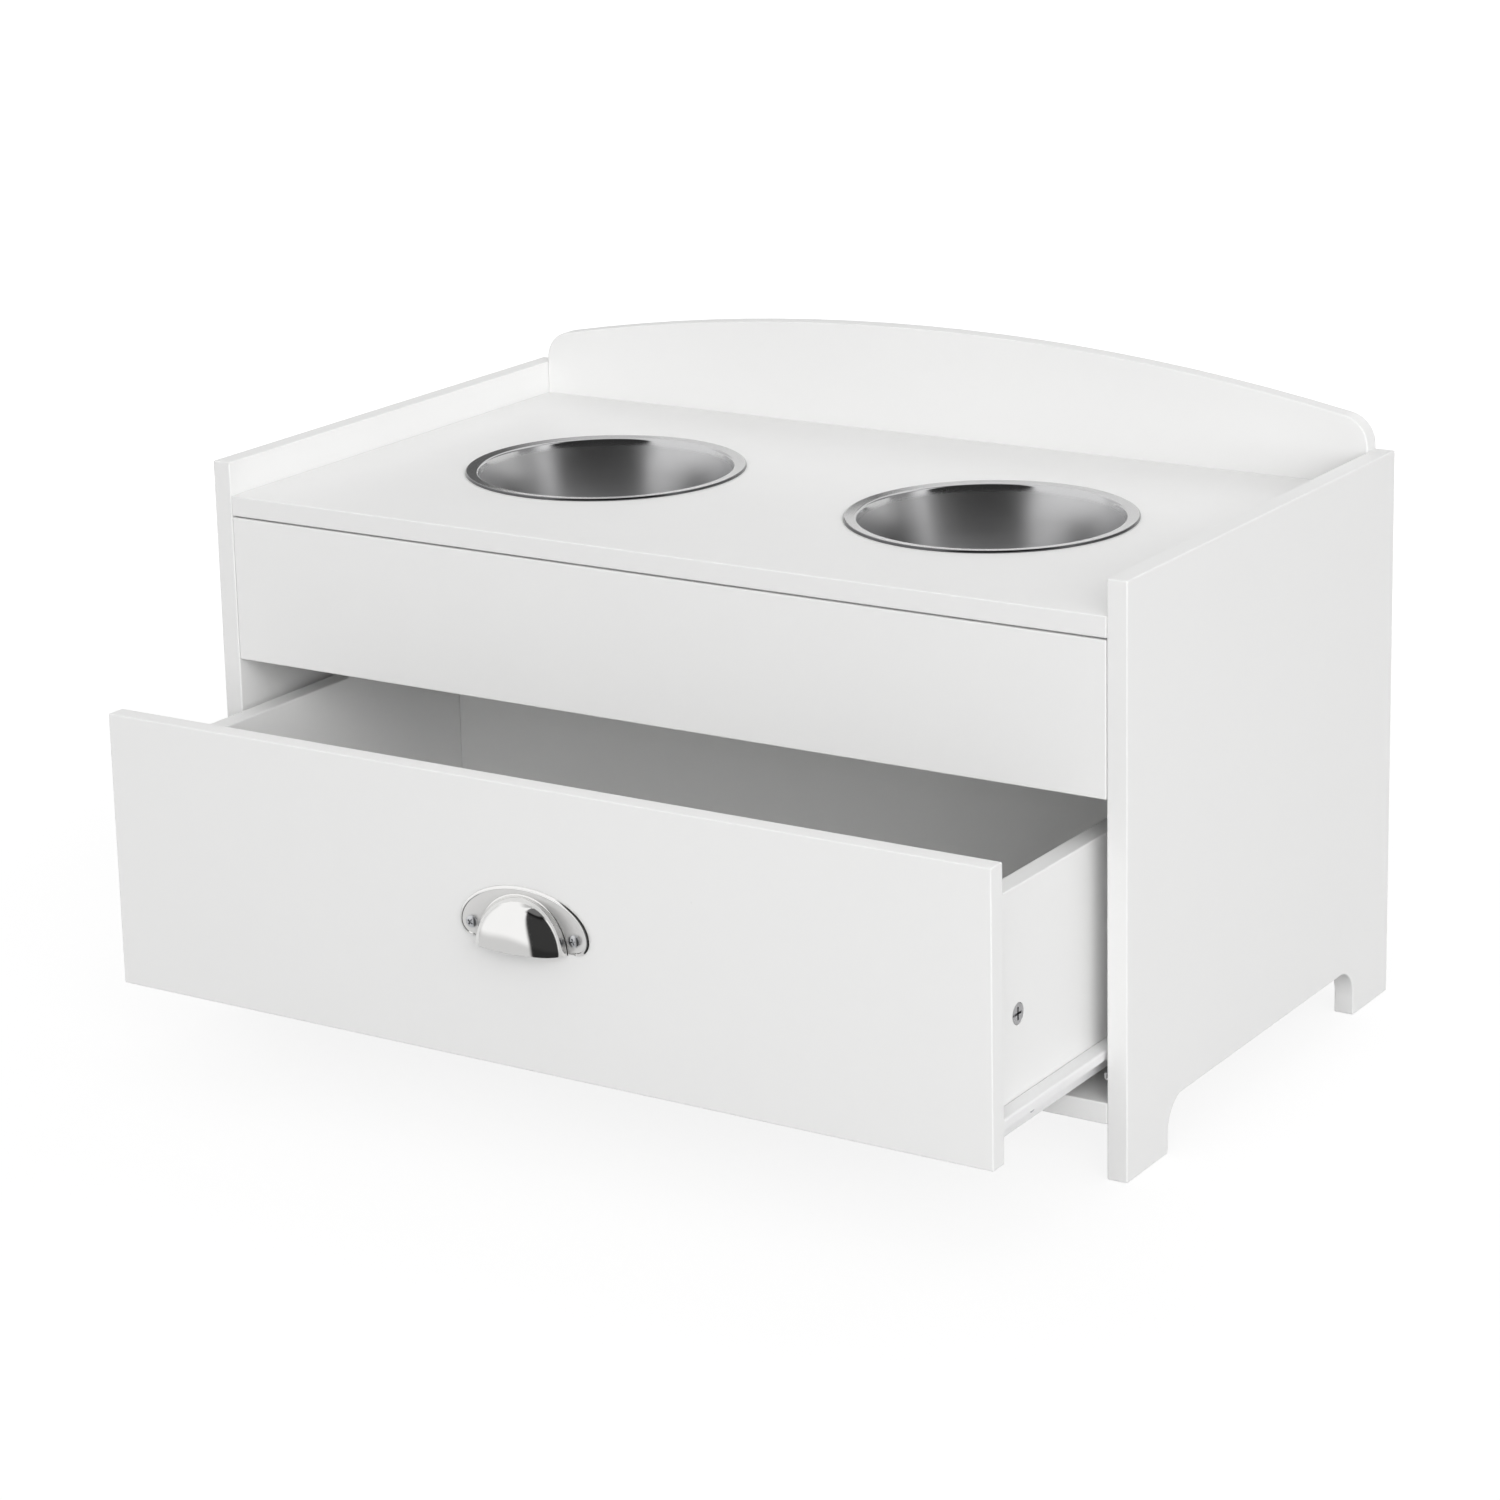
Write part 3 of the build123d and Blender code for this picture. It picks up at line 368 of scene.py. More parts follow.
def settled_dust_group():
    """Roughness and tone of the faint dust that lies on faces turned upwards."""
    wires, g, out = new_tree(
        "settled_dust", "ShaderNodeTree", FILM, Colour=GREY, Roughness=0.4, Amount=0.3
    )
    lies = wires.ramp(wires.split(wires.true_normal())[2], 0.6, 0.98, smooth=True)
    patch = wires.ramp(wires.noise(wires.place(), 24.0, 6.0, 0.7), 0.4, 0.75)
    amount = wires.times(wires.times(lies, patch), g["Amount"])
    wires.fill(
        out, Colour=wires.mix(wires.times(amount, 0.12), g["Colour"], (0.74, 0.73, 0.71, 1)),
        Roughness=wires.plus(g["Roughness"], wires.times(amount, 0.25), clamp=True),
    )
    return wires.tree


# ---- finishes ---------------------------------------------------------------
def new_finish(name):
    """A material with its Principled shader, ready to be wired."""
    made = bpy.data.materials.new(name)
    made.use_nodes = True
    return made, Wiring(made.node_tree), made.node_tree.nodes["Principled BSDF"]


def dusted(wires, surface, amount):
    return wires.group(
        shared("settled_dust"), Colour=surface["Colour"], Roughness=surface["Roughness"],
        Amount=amount,
    )


def lined(wires, colour, along, line, depth, rough, spread, tone):
    return wires.group(
        shared("metal_lines"), Colour=rgb(colour), Along=along, Line_Size=line, Line_Depth=depth,
        Roughness=rough, Spread=spread, Tone=tone,
    )


def sprayed_finish(name, colour, edge, through, peel, depth, rough, edge_rough, drift=0.012,
                   dust=0.3):
    """A sprayed or coated surface: lacquer, powder coat, painted hardboard, moulded nylon."""
    made, wires, shader = new_finish(name)
    skin = wires.group(
        shared("sprayed_skin"), Colour=rgb(colour), Edge_Colour=rgb(edge), Through=through,
        Peel_Size=peel, Peel_Depth=depth, Drift=drift, Roughness=rough, Edge_Roughness=edge_rough,
    )
    film = dusted(wires, skin, dust)
    wires.fill(
        shader, Base_Color=film["Colour"], Roughness=film["Roughness"], Normal=skin["Normal"]
    )
    return made


def turned_metal_finish(name, colour, centre, hem, line, depth, rough, satin, spread, tone):
    """Metal polished on a lathe: the lines run round the given axis. Below the polished rim the
    drawn sheet is satin and very slightly wavy, and outside the hem's radius the colour is
    near black: painted shade standing in for the contact shadow under the rolled hem."""
    made, wires, shader = new_finish(name)
    place = wires.vector("SUBTRACT", wires.place(), centre)
    x, y, z = wires.split(place)
    radius = wires.vector("LENGTH", wires.combine(x, y, 0.0))
    along = wires.combine(radius, z, 0.0)
    metal = lined(wires, colour, along, line, depth, rough, spread, tone)
    film = dusted(wires, metal, 0.15)
    # painted shade: mask of the ring outside the hem's radius, where the contact shadow under the
    # rolled rim is painted
    outside = wires.ramp(radius, hem - 0.0002, hem + 0.0001)
    inside = wires.ramp(z, -0.0018, -0.006, smooth=True)
    duller = wires.times(inside, satin - rough)
    waves = wires.noise(place, 22.0, 1.0, 0.4)
    wires.fill(
        # the near-black colour here is the painted shade of the rim's contact shadow
        shader, Base_Color=wires.mix(outside, film["Colour"], (0.13, 0.13, 0.135, 1)),
        Metallic=1.0, Roughness=wires.plus(film["Roughness"], duller, clamp=True),
        Normal=wires.bump(waves, wires.times(inside, 0.0009), metal["Normal"]),
    )
    return made


def plated_finish(name, colour, stretch, line, depth, rough, spread, tone, satin=None):
    """Plated or cast metal: polishing lines stretched along one direction of the piece. satin
    gives a level of Y behind which faces that look to the front are matt, and how matt."""
    made, wires, shader = new_finish(name)
    along = wires.vector("MULTIPLY", wires.place(), stretch)
    metal = lined(wires, colour, along, line, depth, rough, spread, tone)
    shine, rough, colour = 1.0, metal["Roughness"], metal["Colour"]
    if satin:
        level, matt = satin
        flat = wires.ramp(wires.split(wires.true_normal())[1], -0.9, -0.97)
        behind = wires.ramp(wires.split(wires.place())[1], level - 0.00005, level + 0.00005)
        mask = wires.times(flat, behind)
        rough = wires.plus(rough, wires.times(mask, matt), clamp=True)
        shine = wires.ramp(mask, 0.0, 1.0, 1.0, 0.55)
        colour = wires.mix(wires.times(mask, 0.07), colour, (0, 0, 0, 1))
    wires.fill(shader, Base_Color=colour, Metallic=shine, Roughness=rough, Normal=metal["Normal"])
    return made


def beech_finish(name, colour, dark, stretch):
    """Turned beech: close straight grain with short dark flecks along the dowel."""
    made, wires, shader = new_finish(name)
    place = wires.vector("MULTIPLY", wires.place(), stretch)
    grain = wires.noise(place, 900.0, 4.0, 0.6)
    fleck = wires.ramp(wires.noise(place, 2400.0, 2.0, 0.5), 0.6, 0.7)
    tone = wires.mix(wires.ramp(grain, 0.35, 0.68), rgb(colour), rgb(dark))
    wires.fill(
        shader, Base_Color=wires.mix(wires.times(fleck, 0.6), tone, (0.25, 0.14, 0.07, 1)),
        Roughness=wires.ramp(grain, 0.3, 0.7, 0.5, 0.68), Normal=wires.bump(grain, 0.00003),
    )
    return made


def dress(node, material):
    """Puts a finish on a node of the frame."""
    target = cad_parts[node]
    if not target.material_slots:
        target.data.materials.append(material)
    for slot in target.material_slots:
        slot.material = material


# ---- meshes -----------------------------------------------------------------
def new_piece(name, vertices, edges=(), faces=()):
    mesh = bpy.data.meshes.new(name)
    mesh.from_pydata([tuple(v) for v in vertices], list(edges), list(faces))
    made = bpy.data.objects.new(name, mesh)
    bpy.context.scene.collection.objects.link(made)
    return made


def tidy_normals(mesh, sharp_angle):
    """Merges doubles, turns faces outwards and marks hard edges."""
    work = bmesh.new()
    work.from_mesh(mesh)
    bmesh.ops.remove_doubles(work, verts=work.verts, dist=1e-7)
    bmesh.ops.recalc_face_normals(work, faces=work.faces)
    for face in work.faces:
        face.smooth = True
    work.to_mesh(mesh)
    work.free()
    mesh.set_sharp_from_angle(angle=sharp_angle)


def settle(made, sharp_angle=math.radians(35)):
    """Turns the modifiers' result into the piece's own plain mesh."""
    bpy.context.view_layer.update()
    graph = bpy.context.evaluated_depsgraph_get()
    result = bpy.data.meshes.new_from_object(made.evaluated_get(graph))
    made.modifiers.clear()
    old = made.data
    made.data = result
    result.name = made.name
    bpy.data.meshes.remove(old)
    if not result.vertices:
        raise RuntimeError(f"{made.name} came out empty")
    tidy_normals(result, sharp_angle)


def run_tree(made, tree, **values):
    """Gives a piece a Geometry Nodes modifier, its inputs set by their sockets' identifiers."""
    modifier = made.modifiers.new(tree.name, "NODES")
    modifier.node_group = tree
    by_name = {
        item.name: item.identifier
        for item in tree.interface.items_tree
        if item.item_type == "SOCKET" and item.in_out == "INPUT"
    }
    for key, value in values.items():
        modifier[by_name[key.replace("_", " ")]] = value
    settle(made)


def solids_of(node):
    """Lowest and highest corner of each separate solid in a node of the frame."""
    work = bmesh.new()
    work.from_mesh(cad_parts[node].data)
    bmesh.ops.remove_doubles(work, verts=work.verts, dist=1e-6)
    seen = set()
    found = []
    for start in work.verts:
        if start in seen:
            continue
        seen.add(start)
        island = [start]
        for vert in island:
            for edge in vert.link_edges:
                other = edge.other_vert(vert)
                if other not in seen:
                    seen.add(other)
                    island.append(other)
        points = [v.co for v in island]
        low = Vector(min(p[i] for p in points) for i in range(3))
        high = Vector(max(p[i] for p in points) for i in range(3))
        found.append((low, high))
    work.free()
    return found


def turn(out, toward):
    """The Euler turn that takes a fitting's Z to out and its X to toward."""
    across = out.cross(toward)
    return Matrix((toward, across, out)).transposed().to_euler()


def places_mesh(name, seats):
    """A mesh of points, one for each fitting, with the turn of each as an attribute."""
    made = new_piece(name, [at for at, _ in seats])
    stored = made.data.attributes.new("turn", "FLOAT_VECTOR", "POINT")
    for item, (_, angle) in zip(stored.data, seats):
        item.vector = tuple(angle)
    return made


def arc(centre_x, centre_y, radius, start, end, steps):
    """Points of an arc in a section, angles in degrees."""
    made = []
    for i in range(steps + 1):
        a = math.radians(start + (end - start) * i / steps)
        made.append((centre_x + radius * math.cos(a), centre_y + radius * math.sin(a)))
    return made


# ---- Geometry Nodes: how every tree ends ------------------------------------
SHAPE = {"Geometry": "Geometry"}


def make_real(wires, shape, g, out):
    """The shape as real geometry, in the finish that the tree is given."""
    real = wires.put("GeometryNodeRealizeInstances", shape)
    wires.fill(out, wires.put("GeometryNodeSetMaterial", Geometry=real, Material=g["Finish"]))


def set_on_points(wires, fitting, g, out):
    """One fitting on every point, turned as the point says."""
    stored = wires.add("GeometryNodeInputNamedAttribute", data_type="FLOAT_VECTOR")
    wires.fill(stored, Name="turn")
    turned = wires.put("FunctionNodeEulerToRotation", stored.outputs[0])
    spread = wires.put(
        "GeometryNodeInstanceOnPoints", Points=g["Geometry"], Instance=fitting, Rotation=turned
    )
    make_real(wires, spread, g, out)


# ---- Geometry Nodes: turned shell -------------------------------------------
def turned_shell_tree():
    """Turns the section held in the piece's own points about an upright axis."""
    wires, g, out = new_tree(
        "turned_shell", "GeometryNodeTree", SHAPE, Geometry="Geometry", Segments=128,
        Centre=(0, 0, 0), Finish="Material",
    )
    size = wires.add("GeometryNodeAttributeDomainSize", component="MESH")
    rows = wires.fill(size, g["Geometry"]).outputs["Point Count"]
    columns = wires.plus(g["Segments"], 1.0)
    grid = wires.put("GeometryNodeMeshGrid", Vertices_X=columns, Vertices_Y=rows)
    index = wires.put("GeometryNodeInputIndex")
    column = wires.math("FLOOR", wires.over(wires.plus(index, 0.5), rows))
    row = wires.minus(index, wires.times(column, rows))
    point = wires.add("GeometryNodeSampleIndex", data_type="FLOAT_VECTOR", domain="POINT")
    position = wires.put("GeometryNodeInputPosition")
    wires.fill(point, Geometry=g["Geometry"], Value=position, Index=row)
    radius, _, height = wires.split(point.outputs[0])
    turned = wires.over(wires.times(column, math.tau), g["Segments"])
    x = wires.times(radius, wires.math("COSINE", turned))
    y = wires.times(radius, wires.math("SINE", turned))
    spot = wires.vector("ADD", wires.combine(x, y, height), g["Centre"])
    placed = wires.put("GeometryNodeSetPosition", Geometry=grid, Position=spot)
    merged = wires.put("GeometryNodeMergeByDistance", Geometry=placed, Distance=1e-6)
    make_real(wires, merged, g, out)
    return wires.tree


# ---- Geometry Nodes: cross-head fittings ------------------------------------
def cylinder(wires, fill, **sizes):
    made = wires.add("GeometryNodeMeshCylinder", fill_type=fill)
    return wires.fill(made, **sizes).outputs[0]


def moved(wires, geometry, x, z):
    way = wires.combine(x, 0.0, z)
    return wires.put("GeometryNodeTransform", Geometry=geometry, Translation=way)


def levels(wires):
    """X and Y of a cylinder's points, and their height above and below its middle."""
    x, y, level = wires.split(wires.put("GeometryNodeInputPosition"))
    return x, y, wires.math("MAXIMUM", level, 0.0), wires.math("MINIMUM", level, 0.0)


def shaped(wires, geometry, x, y, waist, height):
    spot = wires.combine(wires.times(x, waist), wires.times(y, waist), height)
    return wires.put("GeometryNodeSetPosition", Geometry=geometry, Position=spot)


def recessed(wires, geometry, g, top, *cutters):
    """The head with the given cutters and the two crossed bars of its recess taken out of it."""
    cut = wires.add("GeometryNodeMeshBoolean", operation="DIFFERENCE", solver="EXACT")
    wires.feed(cut.inputs["Mesh 1"], geometry)
    long, wide = wires.times(g["Recess Reach"], 2.0), g["Recess Width"]
    tall = wires.times(g["Recess Depth"], 2.0)
    bars = [
        moved(wires, wires.put("GeometryNodeMeshCube", Size=size), 0.0, top)
        for size in (wires.combine(long, wide, tall), wires.combine(wide, long, tall))
    ]
    for cutter in (*cutters, *bars):
        wires.feed(cut.inputs["Mesh 2"], cutter)
    return cut.outputs[0]


def cross_screw_tree():
    """Cross-head screws on the given points: a crowned head, its recess, cone and shank."""
    wires, g, out = new_tree(
        "cross_head_screws", "GeometryNodeTree", SHAPE, Geometry="Geometry", Head_Radius=0.0034,
        Head_Height=0.002, Crown=0.5, Cone=0.00002, Shank_Radius=0.0015, Shank_Length=0.01,
        Recess_Reach=0.0019, Recess_Width=0.0009, Recess_Depth=0.0012, Finish="Material",
    )
    head = cylinder(
        wires, "TRIANGLE_FAN", Vertices=48, Side_Segments=2, Fill_Segments=9,
        Radius=g["Head Radius"], Depth=2.0,
    )
    x, y, above, below = levels(wires)
    part = wires.over(wires.vector("LENGTH", wires.combine(x, y, 0.0)), g["Head Radius"])
    fall = wires.times(wires.math("POWER", part, 3.0), g["Crown"])
    top = wires.times(wires.times(above, g["Head Height"]), wires.minus(1.0, fall))
    height = wires.plus(top, wires.times(below, g["Cone"]))
    slim = wires.minus(wires.over(g["Shank Radius"], g["Head Radius"]), 1.0)
    waist = wires.minus(1.0, wires.times(below, slim))
    head = shaped(wires, head, x, y, waist, height)
    shank = cylinder(
        wires, "TRIANGLE_FAN", Vertices=24, Radius=g["Shank Radius"], Depth=g["Shank Length"]
    )
    middle = wires.plus(wires.times(g["Shank Length"], 0.5), g["Cone"])
    whole = wires.add("GeometryNodeJoinGeometry")
    wires.feed(whole.inputs[0], recessed(wires, head, g, g["Head Height"]))
    wires.feed(whole.inputs[0], moved(wires, shank, 0.0, wires.times(middle, -1.0)))
    set_on_points(wires, whole.outputs[0], g, out)
    return wires.tree


def cam_lock_tree():
    """Cam locks on the given points: a cast disc with a cross recess and an arrow."""
    wires, g, out = new_tree(
        "cam_locks", "GeometryNodeTree", SHAPE, Geometry="Geometry", Radius=0.0059,
        Height=0.0093, Rim=0.0004, Recess_Reach=0.0036, Recess_Width=0.0014,
        Recess_Depth=0.0016, Finish="Material",
    )
    disc = cylinder(
        wires, "TRIANGLE_FAN", Vertices=64, Side_Segments=2, Fill_Segments=4,
        Radius=g["Radius"], Depth=2.0,
    )
    x, y, above, below = levels(wires)
    chamfer = wires.times(wires.minus(above, 1.0), g["Rim"])
    straight = wires.times(below, wires.minus(g["Height"], g["Rim"]))
    waist = wires.minus(1.0, wires.times(above, wires.over(g["Rim"], g["Radius"])))
    disc = shaped(wires, disc, x, y, waist, wires.plus(chamfer, straight))
    small = wires.times(g["Radius"], 0.17)
    arrow = cylinder(wires, "NGON", Vertices=3, Radius=small, Depth=0.0008)
    arrow = moved(wires, arrow, wires.times(g["Radius"], 0.77), 0.0)
    set_on_points(wires, recessed(wires, disc, g, 0.0, arrow), g, out)
    return wires.tree


TREES = {
    "sprayed_skin": sprayed_skin_group,
    "metal_lines": metal_lines_group,
    "settled_dust": settled_dust_group,
    "turned_shell": turned_shell_tree,
    "cross_head_screws": cross_screw_tree,
    "cam_locks": cam_lock_tree,
}


# ---- bowls ------------------------------------------------------------------
# the base's slight dish: radius, and height above the base's own level
BASE_DISH = ((0.0, 0.00025), (0.012, 0.00022), (0.026, 0.0001))
# shares of the rim's flat band at which its section has points
BAND = (0.15, 0.3, 0.45, 0.6, 0.75, 0.88)


def bowl_section(s):
    """Radius and height of the bowl's closed section, from the inside centre round the rim."""
    rise = s.depth - s.wall
    lean = math.atan2(s.mouth - s.base, rise)
    lean_deg = math.degrees(lean)
    curve = s.base_curve
    centre_x = s.base + curve * math.tan(lean) - curve / math.cos(lean)
    floor = -rise
    inner = [(r, floor + h) for r, h in BASE_DISH]
    inner += arc(centre_x, floor + curve, curve, -90, -lean_deg, 18)
    turn_in = s.mouth_turn
    wall_top = (inner[-1][0] + (s.mouth - inner[-1][0]) * 0.5, inner[-1][1] * 0.5)
    inner.append(wall_top)
    mouth_x = s.mouth + turn_in * 0.8
    inner += arc(mouth_x, -turn_in - s.rim_fall, turn_in, 180 - lean_deg, 90, 8)
    hem_x = s.rim - s.rim_hem
    flat = [(mouth_x + (hem_x - mouth_x) * k, -s.rim_fall * (1 - k)) for k in BAND]
    edge = arc(hem_x, -s.rim_hem, s.rim_hem, 94, 0, 12)
    tuck = (s.rim_drop - s.rim_hem) * 0.9
    edge += arc(s.rim - tuck, -s.rim_drop + tuck, tuck, 0, -90, 6)
    under = [
        (hem_x, -s.rim_drop),
        (hem_x - s.wall * 0.2, -s.wall),
        (s.mouth + turn_in * 1.3, -s.wall - s.rim_fall),
        (s.mouth + s.wall * 1.05, -s.wall - turn_in),
        (wall_top[0] + s.wall * math.cos(lean), wall_top[1] - s.wall * math.sin(lean)),
    ]
    outer = arc(centre_x, floor + curve, curve + s.wall, -lean_deg, -90, 18)
    outer += [(r, floor - s.wall + h) for r, h in reversed(BASE_DISH)]
    return inner + flat + edge + under + outer


class FEEDER_OT_bowls(bpy.types.Operator):
    """Turn the two drawn steel bowls"""

    bl_idname = "feeder.bowls"
    bl_label = "Bowls"

    def execute(self, context):
        sizes = context.scene.feeder_bowls
        colours = context.scene.feeder_finishes
        section = bowl_section(sizes)
        for side in ("left", "right"):
            low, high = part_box(side + "_bowl")
            centre = Vector(((low.x + high.x) / 2, (low.y + high.y) / 2, high.z))
            # hem: radius beyond which the rim's contact shadow is painted into the steel's colour
            steel = turned_metal_finish(
                "polished steel, " + side + " bowl", colours.steel, tuple(centre),
                hem=sizes.rim - sizes.rim_hem * 0.6, line=0.00035, depth=4e-7, rough=0.10,
                satin=0.32, spread=0.07, tone=0.05,
            )
            points = [(r, 0.0, h) for r, h in section]
            edges = [(i, i + 1) for i in range(len(points) - 1)]
            bowl = new_piece(side + "_feeding_bowl", points, edges)
            run_tree(
                bowl, shared("turned_shell"), Segments=sizes.segments,
                Centre=tuple(centre), Finish=steel,
            )
            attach(bowl, "bowl_" + side)
            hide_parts(side + "_bowl")
        return {"FINISHED"}


# ---- cup pull ---------------------------------------------------------------
# the flange's edge from the rim inwards: inset in bevel widths, depth in bevels; the last pair is
# the floor of the fine step, which runs on to the cup
FLANGE_EDGE = ((0.0, 1.0), (0.18, 0.62), (0.5, 0.26), (0.84, 0.0), (1.0, 0.0), (1.2, 0.34))
# the bead at the cup's foot, in bead sizes: width outside the cup, height over the flange
FOOT_BEAD = ((1.0, 0.35), (0.86, 0.72), (0.5, 0.9), (0.12, 1.0))


def flange_path(s, count):
    """Outer outline of the flange, right foot over the top to the left foot, with its outward
    directions. The screw line is at height 0."""
    half = s.screw_spacing / 2
    wide = half + s.lobe
    lobe_steps = count // 6

    def lobe(middle, degrees):
        a = math.radians(degrees)
        return (middle + s.lobe * math.cos(a), s.lobe * math.sin(a)), (math.cos(a), math.sin(a))

    made = [lobe(half, -90 + 90 * i / lobe_steps) for i in range(lobe_steps)]
    for i in range(count + 1):
        a = math.pi * i / count
        nx, nz = math.cos(a) / wide, math.sin(a) / s.arch
        size = math.hypot(nx, nz)
        made.append(((wide * math.cos(a), s.arch * math.sin(a)), (nx / size, nz / size)))
    made += [lobe(-half, 180 + 90 * i / lobe_steps) for i in range(1, lobe_steps + 1)]
    return made


def swept(rings):
    """Faces between successive rings of points, each ring one cross-section, and the two ends."""
    count = len(rings[0])
    vertices = [p for ring in rings for p in ring]
    faces = []
    for i in range(len(rings) - 1):
        for k in range(count):
            a = i * count + k
            b = i * count + (k + 1) % count
            faces.append((a, b, b + count, a + count))
    faces.append(tuple(range(count)))
    faces.append(tuple(reversed(range(len(vertices) - count, len(vertices)))))
    return vertices, faces


def flange_mesh(s):
    """The crescent flange: sloped edge, a fine step, then the flat face up to the cup."""
    foot = -s.lobe
    front = -s.flange
    step = front + s.bevel * FLANGE_EDGE[-1][1]
    inner_radius = s.cup - s.wall
    path = flange_path(s, 90)
    rings = []
    for i, ((x, z), (nx, nz)) in enumerate(path):
        t = math.pi * i / (len(path) - 1)
        at_cup = (inner_radius * math.cos(t), foot + inner_radius * math.sin(t))
        ring = [(x, 0.0, z)]
        for inset, depth in FLANGE_EDGE:
            amount = s.bevel_width * inset
            level = max(z - nz * amount, foot)
            ring.append((x - nx * amount, front + s.bevel * depth, level))
        ring += [(at_cup[0], step, at_cup[1]), (at_cup[0], 0.0, at_cup[1])]
        rings.append(ring)
    return swept(rings)


def dome_point(radius, reach, fullness, u):
    """Point of a dome's profile, radius and reach, from the flange (u 0) to the front (u 1)."""
    v = 1 - u
    across = v * v * v * radius + 3 * v * v * u * radius + 3 * v * u * u * radius * fullness
    out = 3 * v * v * u * reach * fullness + 3 * v * u * u * reach + u * u * u * reach
    return across, out


def crossing(test):
    """Where along 0 to 1 the test turns true."""
    low, high = 0.0, 1.0
    for _ in range(50):
        middle = (low + high) / 2
        if test(middle):
            high = middle
        else:
            low = middle
    return high


def cup_mesh(s, around=96, along=44):
    """The half-dome: outer face with its foot bead, lip cut on a slight rise, inner face."""
    foot = -s.lobe
    front = -s.flange

    def lip(out):
        return max(0.0, s.lip_rise * out / s.reach)

    def dome(radius, reach, first):
        def at(u):
            return dome_point(radius, reach, s.fullness, u)

        begin = crossing(lambda u: at(u)[1] >= first) if first else 0.0
        end = crossing(lambda u: at(u)[0] <= lip(at(u)[1]))
        made = []
        for i in range(along + 1):
            r, out = at(begin + (end - begin) * i / along)
            made.append((max(r, lip(out)), out))
        return made

    profile = [(s.cup - s.wall, -s.bevel * 0.3), (s.cup + s.bead, -s.bevel * 0.3)]
    profile += [(s.cup + s.bead * w, s.bead * h) for w, h in FOOT_BEAD]
    profile += dome(s.cup, s.reach, s.bead * 1.25)
    profile += reversed(dome(s.cup - s.wall, s.reach - s.wall, 0.0))
    rings = []
    for j in range(around + 1):
        ring = []
        for r, out in profile:
            low = math.asin(min(1.0, lip(out) / r))
            t = low + (math.pi - 2 * low) * j / around
            ring.append((r * math.cos(t), front - out, foot + r * math.sin(t)))
        rings.append(ring)
    return swept(rings)


def joined(parts):
    vertices, faces = [], []
    for more, more_faces in parts:
        shift = len(vertices)
        vertices += more
        faces += [tuple(k + shift for k in face) for face in more_faces]
    return vertices, faces


class FEEDER_OT_cup_pull(bpy.types.Operator):
    """Shape the half-dome cup pull on its stepped flange"""

    bl_idname = "feeder.cup_pull"
    bl_label = "Cup pull"

    def execute(self, context):
        sizes = context.scene.feeder_pull
        low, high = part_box("cup_pull")
        place = Vector(((low.x + high.x) / 2, high.y, low.z + sizes.lobe))
        vertices, faces = joined([flange_mesh(sizes), cup_mesh(sizes)])
        pull = new_piece("nickel_cup_pull", [Vector(v) + place for v in vertices], (), faces)
        tidy_normals(pull.data, math.radians(30))
        soften = pull.modifiers.new("softened lip", "BEVEL")
        soften.width = 0.00022
        soften.segments = 2
        soften.limit_method = "ANGLE"
        soften.angle_limit = math.radians(50)
        soften.harden_normals = False
        settle(pull, math.radians(38))
        nickel = plated_finish(
            "polished nickel, cup pull", context.scene.feeder_finishes.nickel, (1.0, 0.25, 0.12),
            line=0.0005, depth=4e-7, rough=0.08, spread=0.05, tone=0.03,
            satin=(high.y - sizes.flange - 0.0002, 0.34),
        )
        pull.data.materials.clear()
        pull.data.materials.append(nickel)
        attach(pull, "drawer")
        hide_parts("cup_pull")
        return {"FINISHED"}


# ---- screws and cam locks ---------------------------------------------------
# how far a sunk head's face lies under the surface
SUNK = 0.0001


def set_screws(name, node, body, slot, seats, finish, s, **sizes):
    """Cross-head screws on their seats. Their recess is as deep as usual if sizes has no depth."""
    sizes.setdefault("Recess_Depth", s.recess_depth)
    screws = places_mesh(name, seats)
    run_tree(
        screws, shared("cross_head_screws"), Finish=finish, Recess_Reach=s.recess_reach,
        Recess_Width=s.recess_width, **sizes,
    )
    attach(screws, body)
    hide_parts(node)


def side_seat(low, high, way, depth, lean):
    """Seat of a screw that looks along X (way 1 or -1), under its solid's outermost point by
    depth and with its cross turned by lean."""
    middle = (low + high) / 2
    face = high.x if way > 0 else low.x
    toward = Vector((0, math.cos(lean), math.sin(lean)))
    at = Vector((face - way * depth, middle.y, middle.z))
    return at, turn(Vector((way, 0, 0)), toward)


def side_of(low, high):
    return 1 if low.x + high.x > 0 else -1


class FEEDER_OT_pull_screws(bpy.types.Operator):
    """Set the two pan-headed screws of the cup pull"""

    bl_idname = "feeder.pull_screws"
    bl_label = "Cup pull screws"

    def execute(self, context):
        s = context.scene.feeder_screws
        zinc = context.scene.feeder_finishes.zinc
        finish = plated_finish(
            "bright zinc, pull screws", zinc, (1, 1, 1), line=0.0004, depth=5e-7, rough=0.32,
            spread=0.1, tone=0.05,
        )
        seats = []
        for (low, high), lean in zip(solids_of("cup_pull_screws"), (0.95, 0.35)):
            mid = (low + high) / 2
            toward = Vector((math.cos(lean), 0, math.sin(lean)))
            seats.append((Vector((mid.x, low.y + s.pan_height, mid.z)), turn(FRONT, toward)))
        set_screws(
            "pull_screws_pan_head", "cup_pull_screws", "drawer", "zinc_steel", seats, finish, s,
            Head_Radius=s.pan_radius, Head_Height=s.pan_height, Crown=0.4, Shank_Length=0.011,
        )
        return {"FINISHED"}


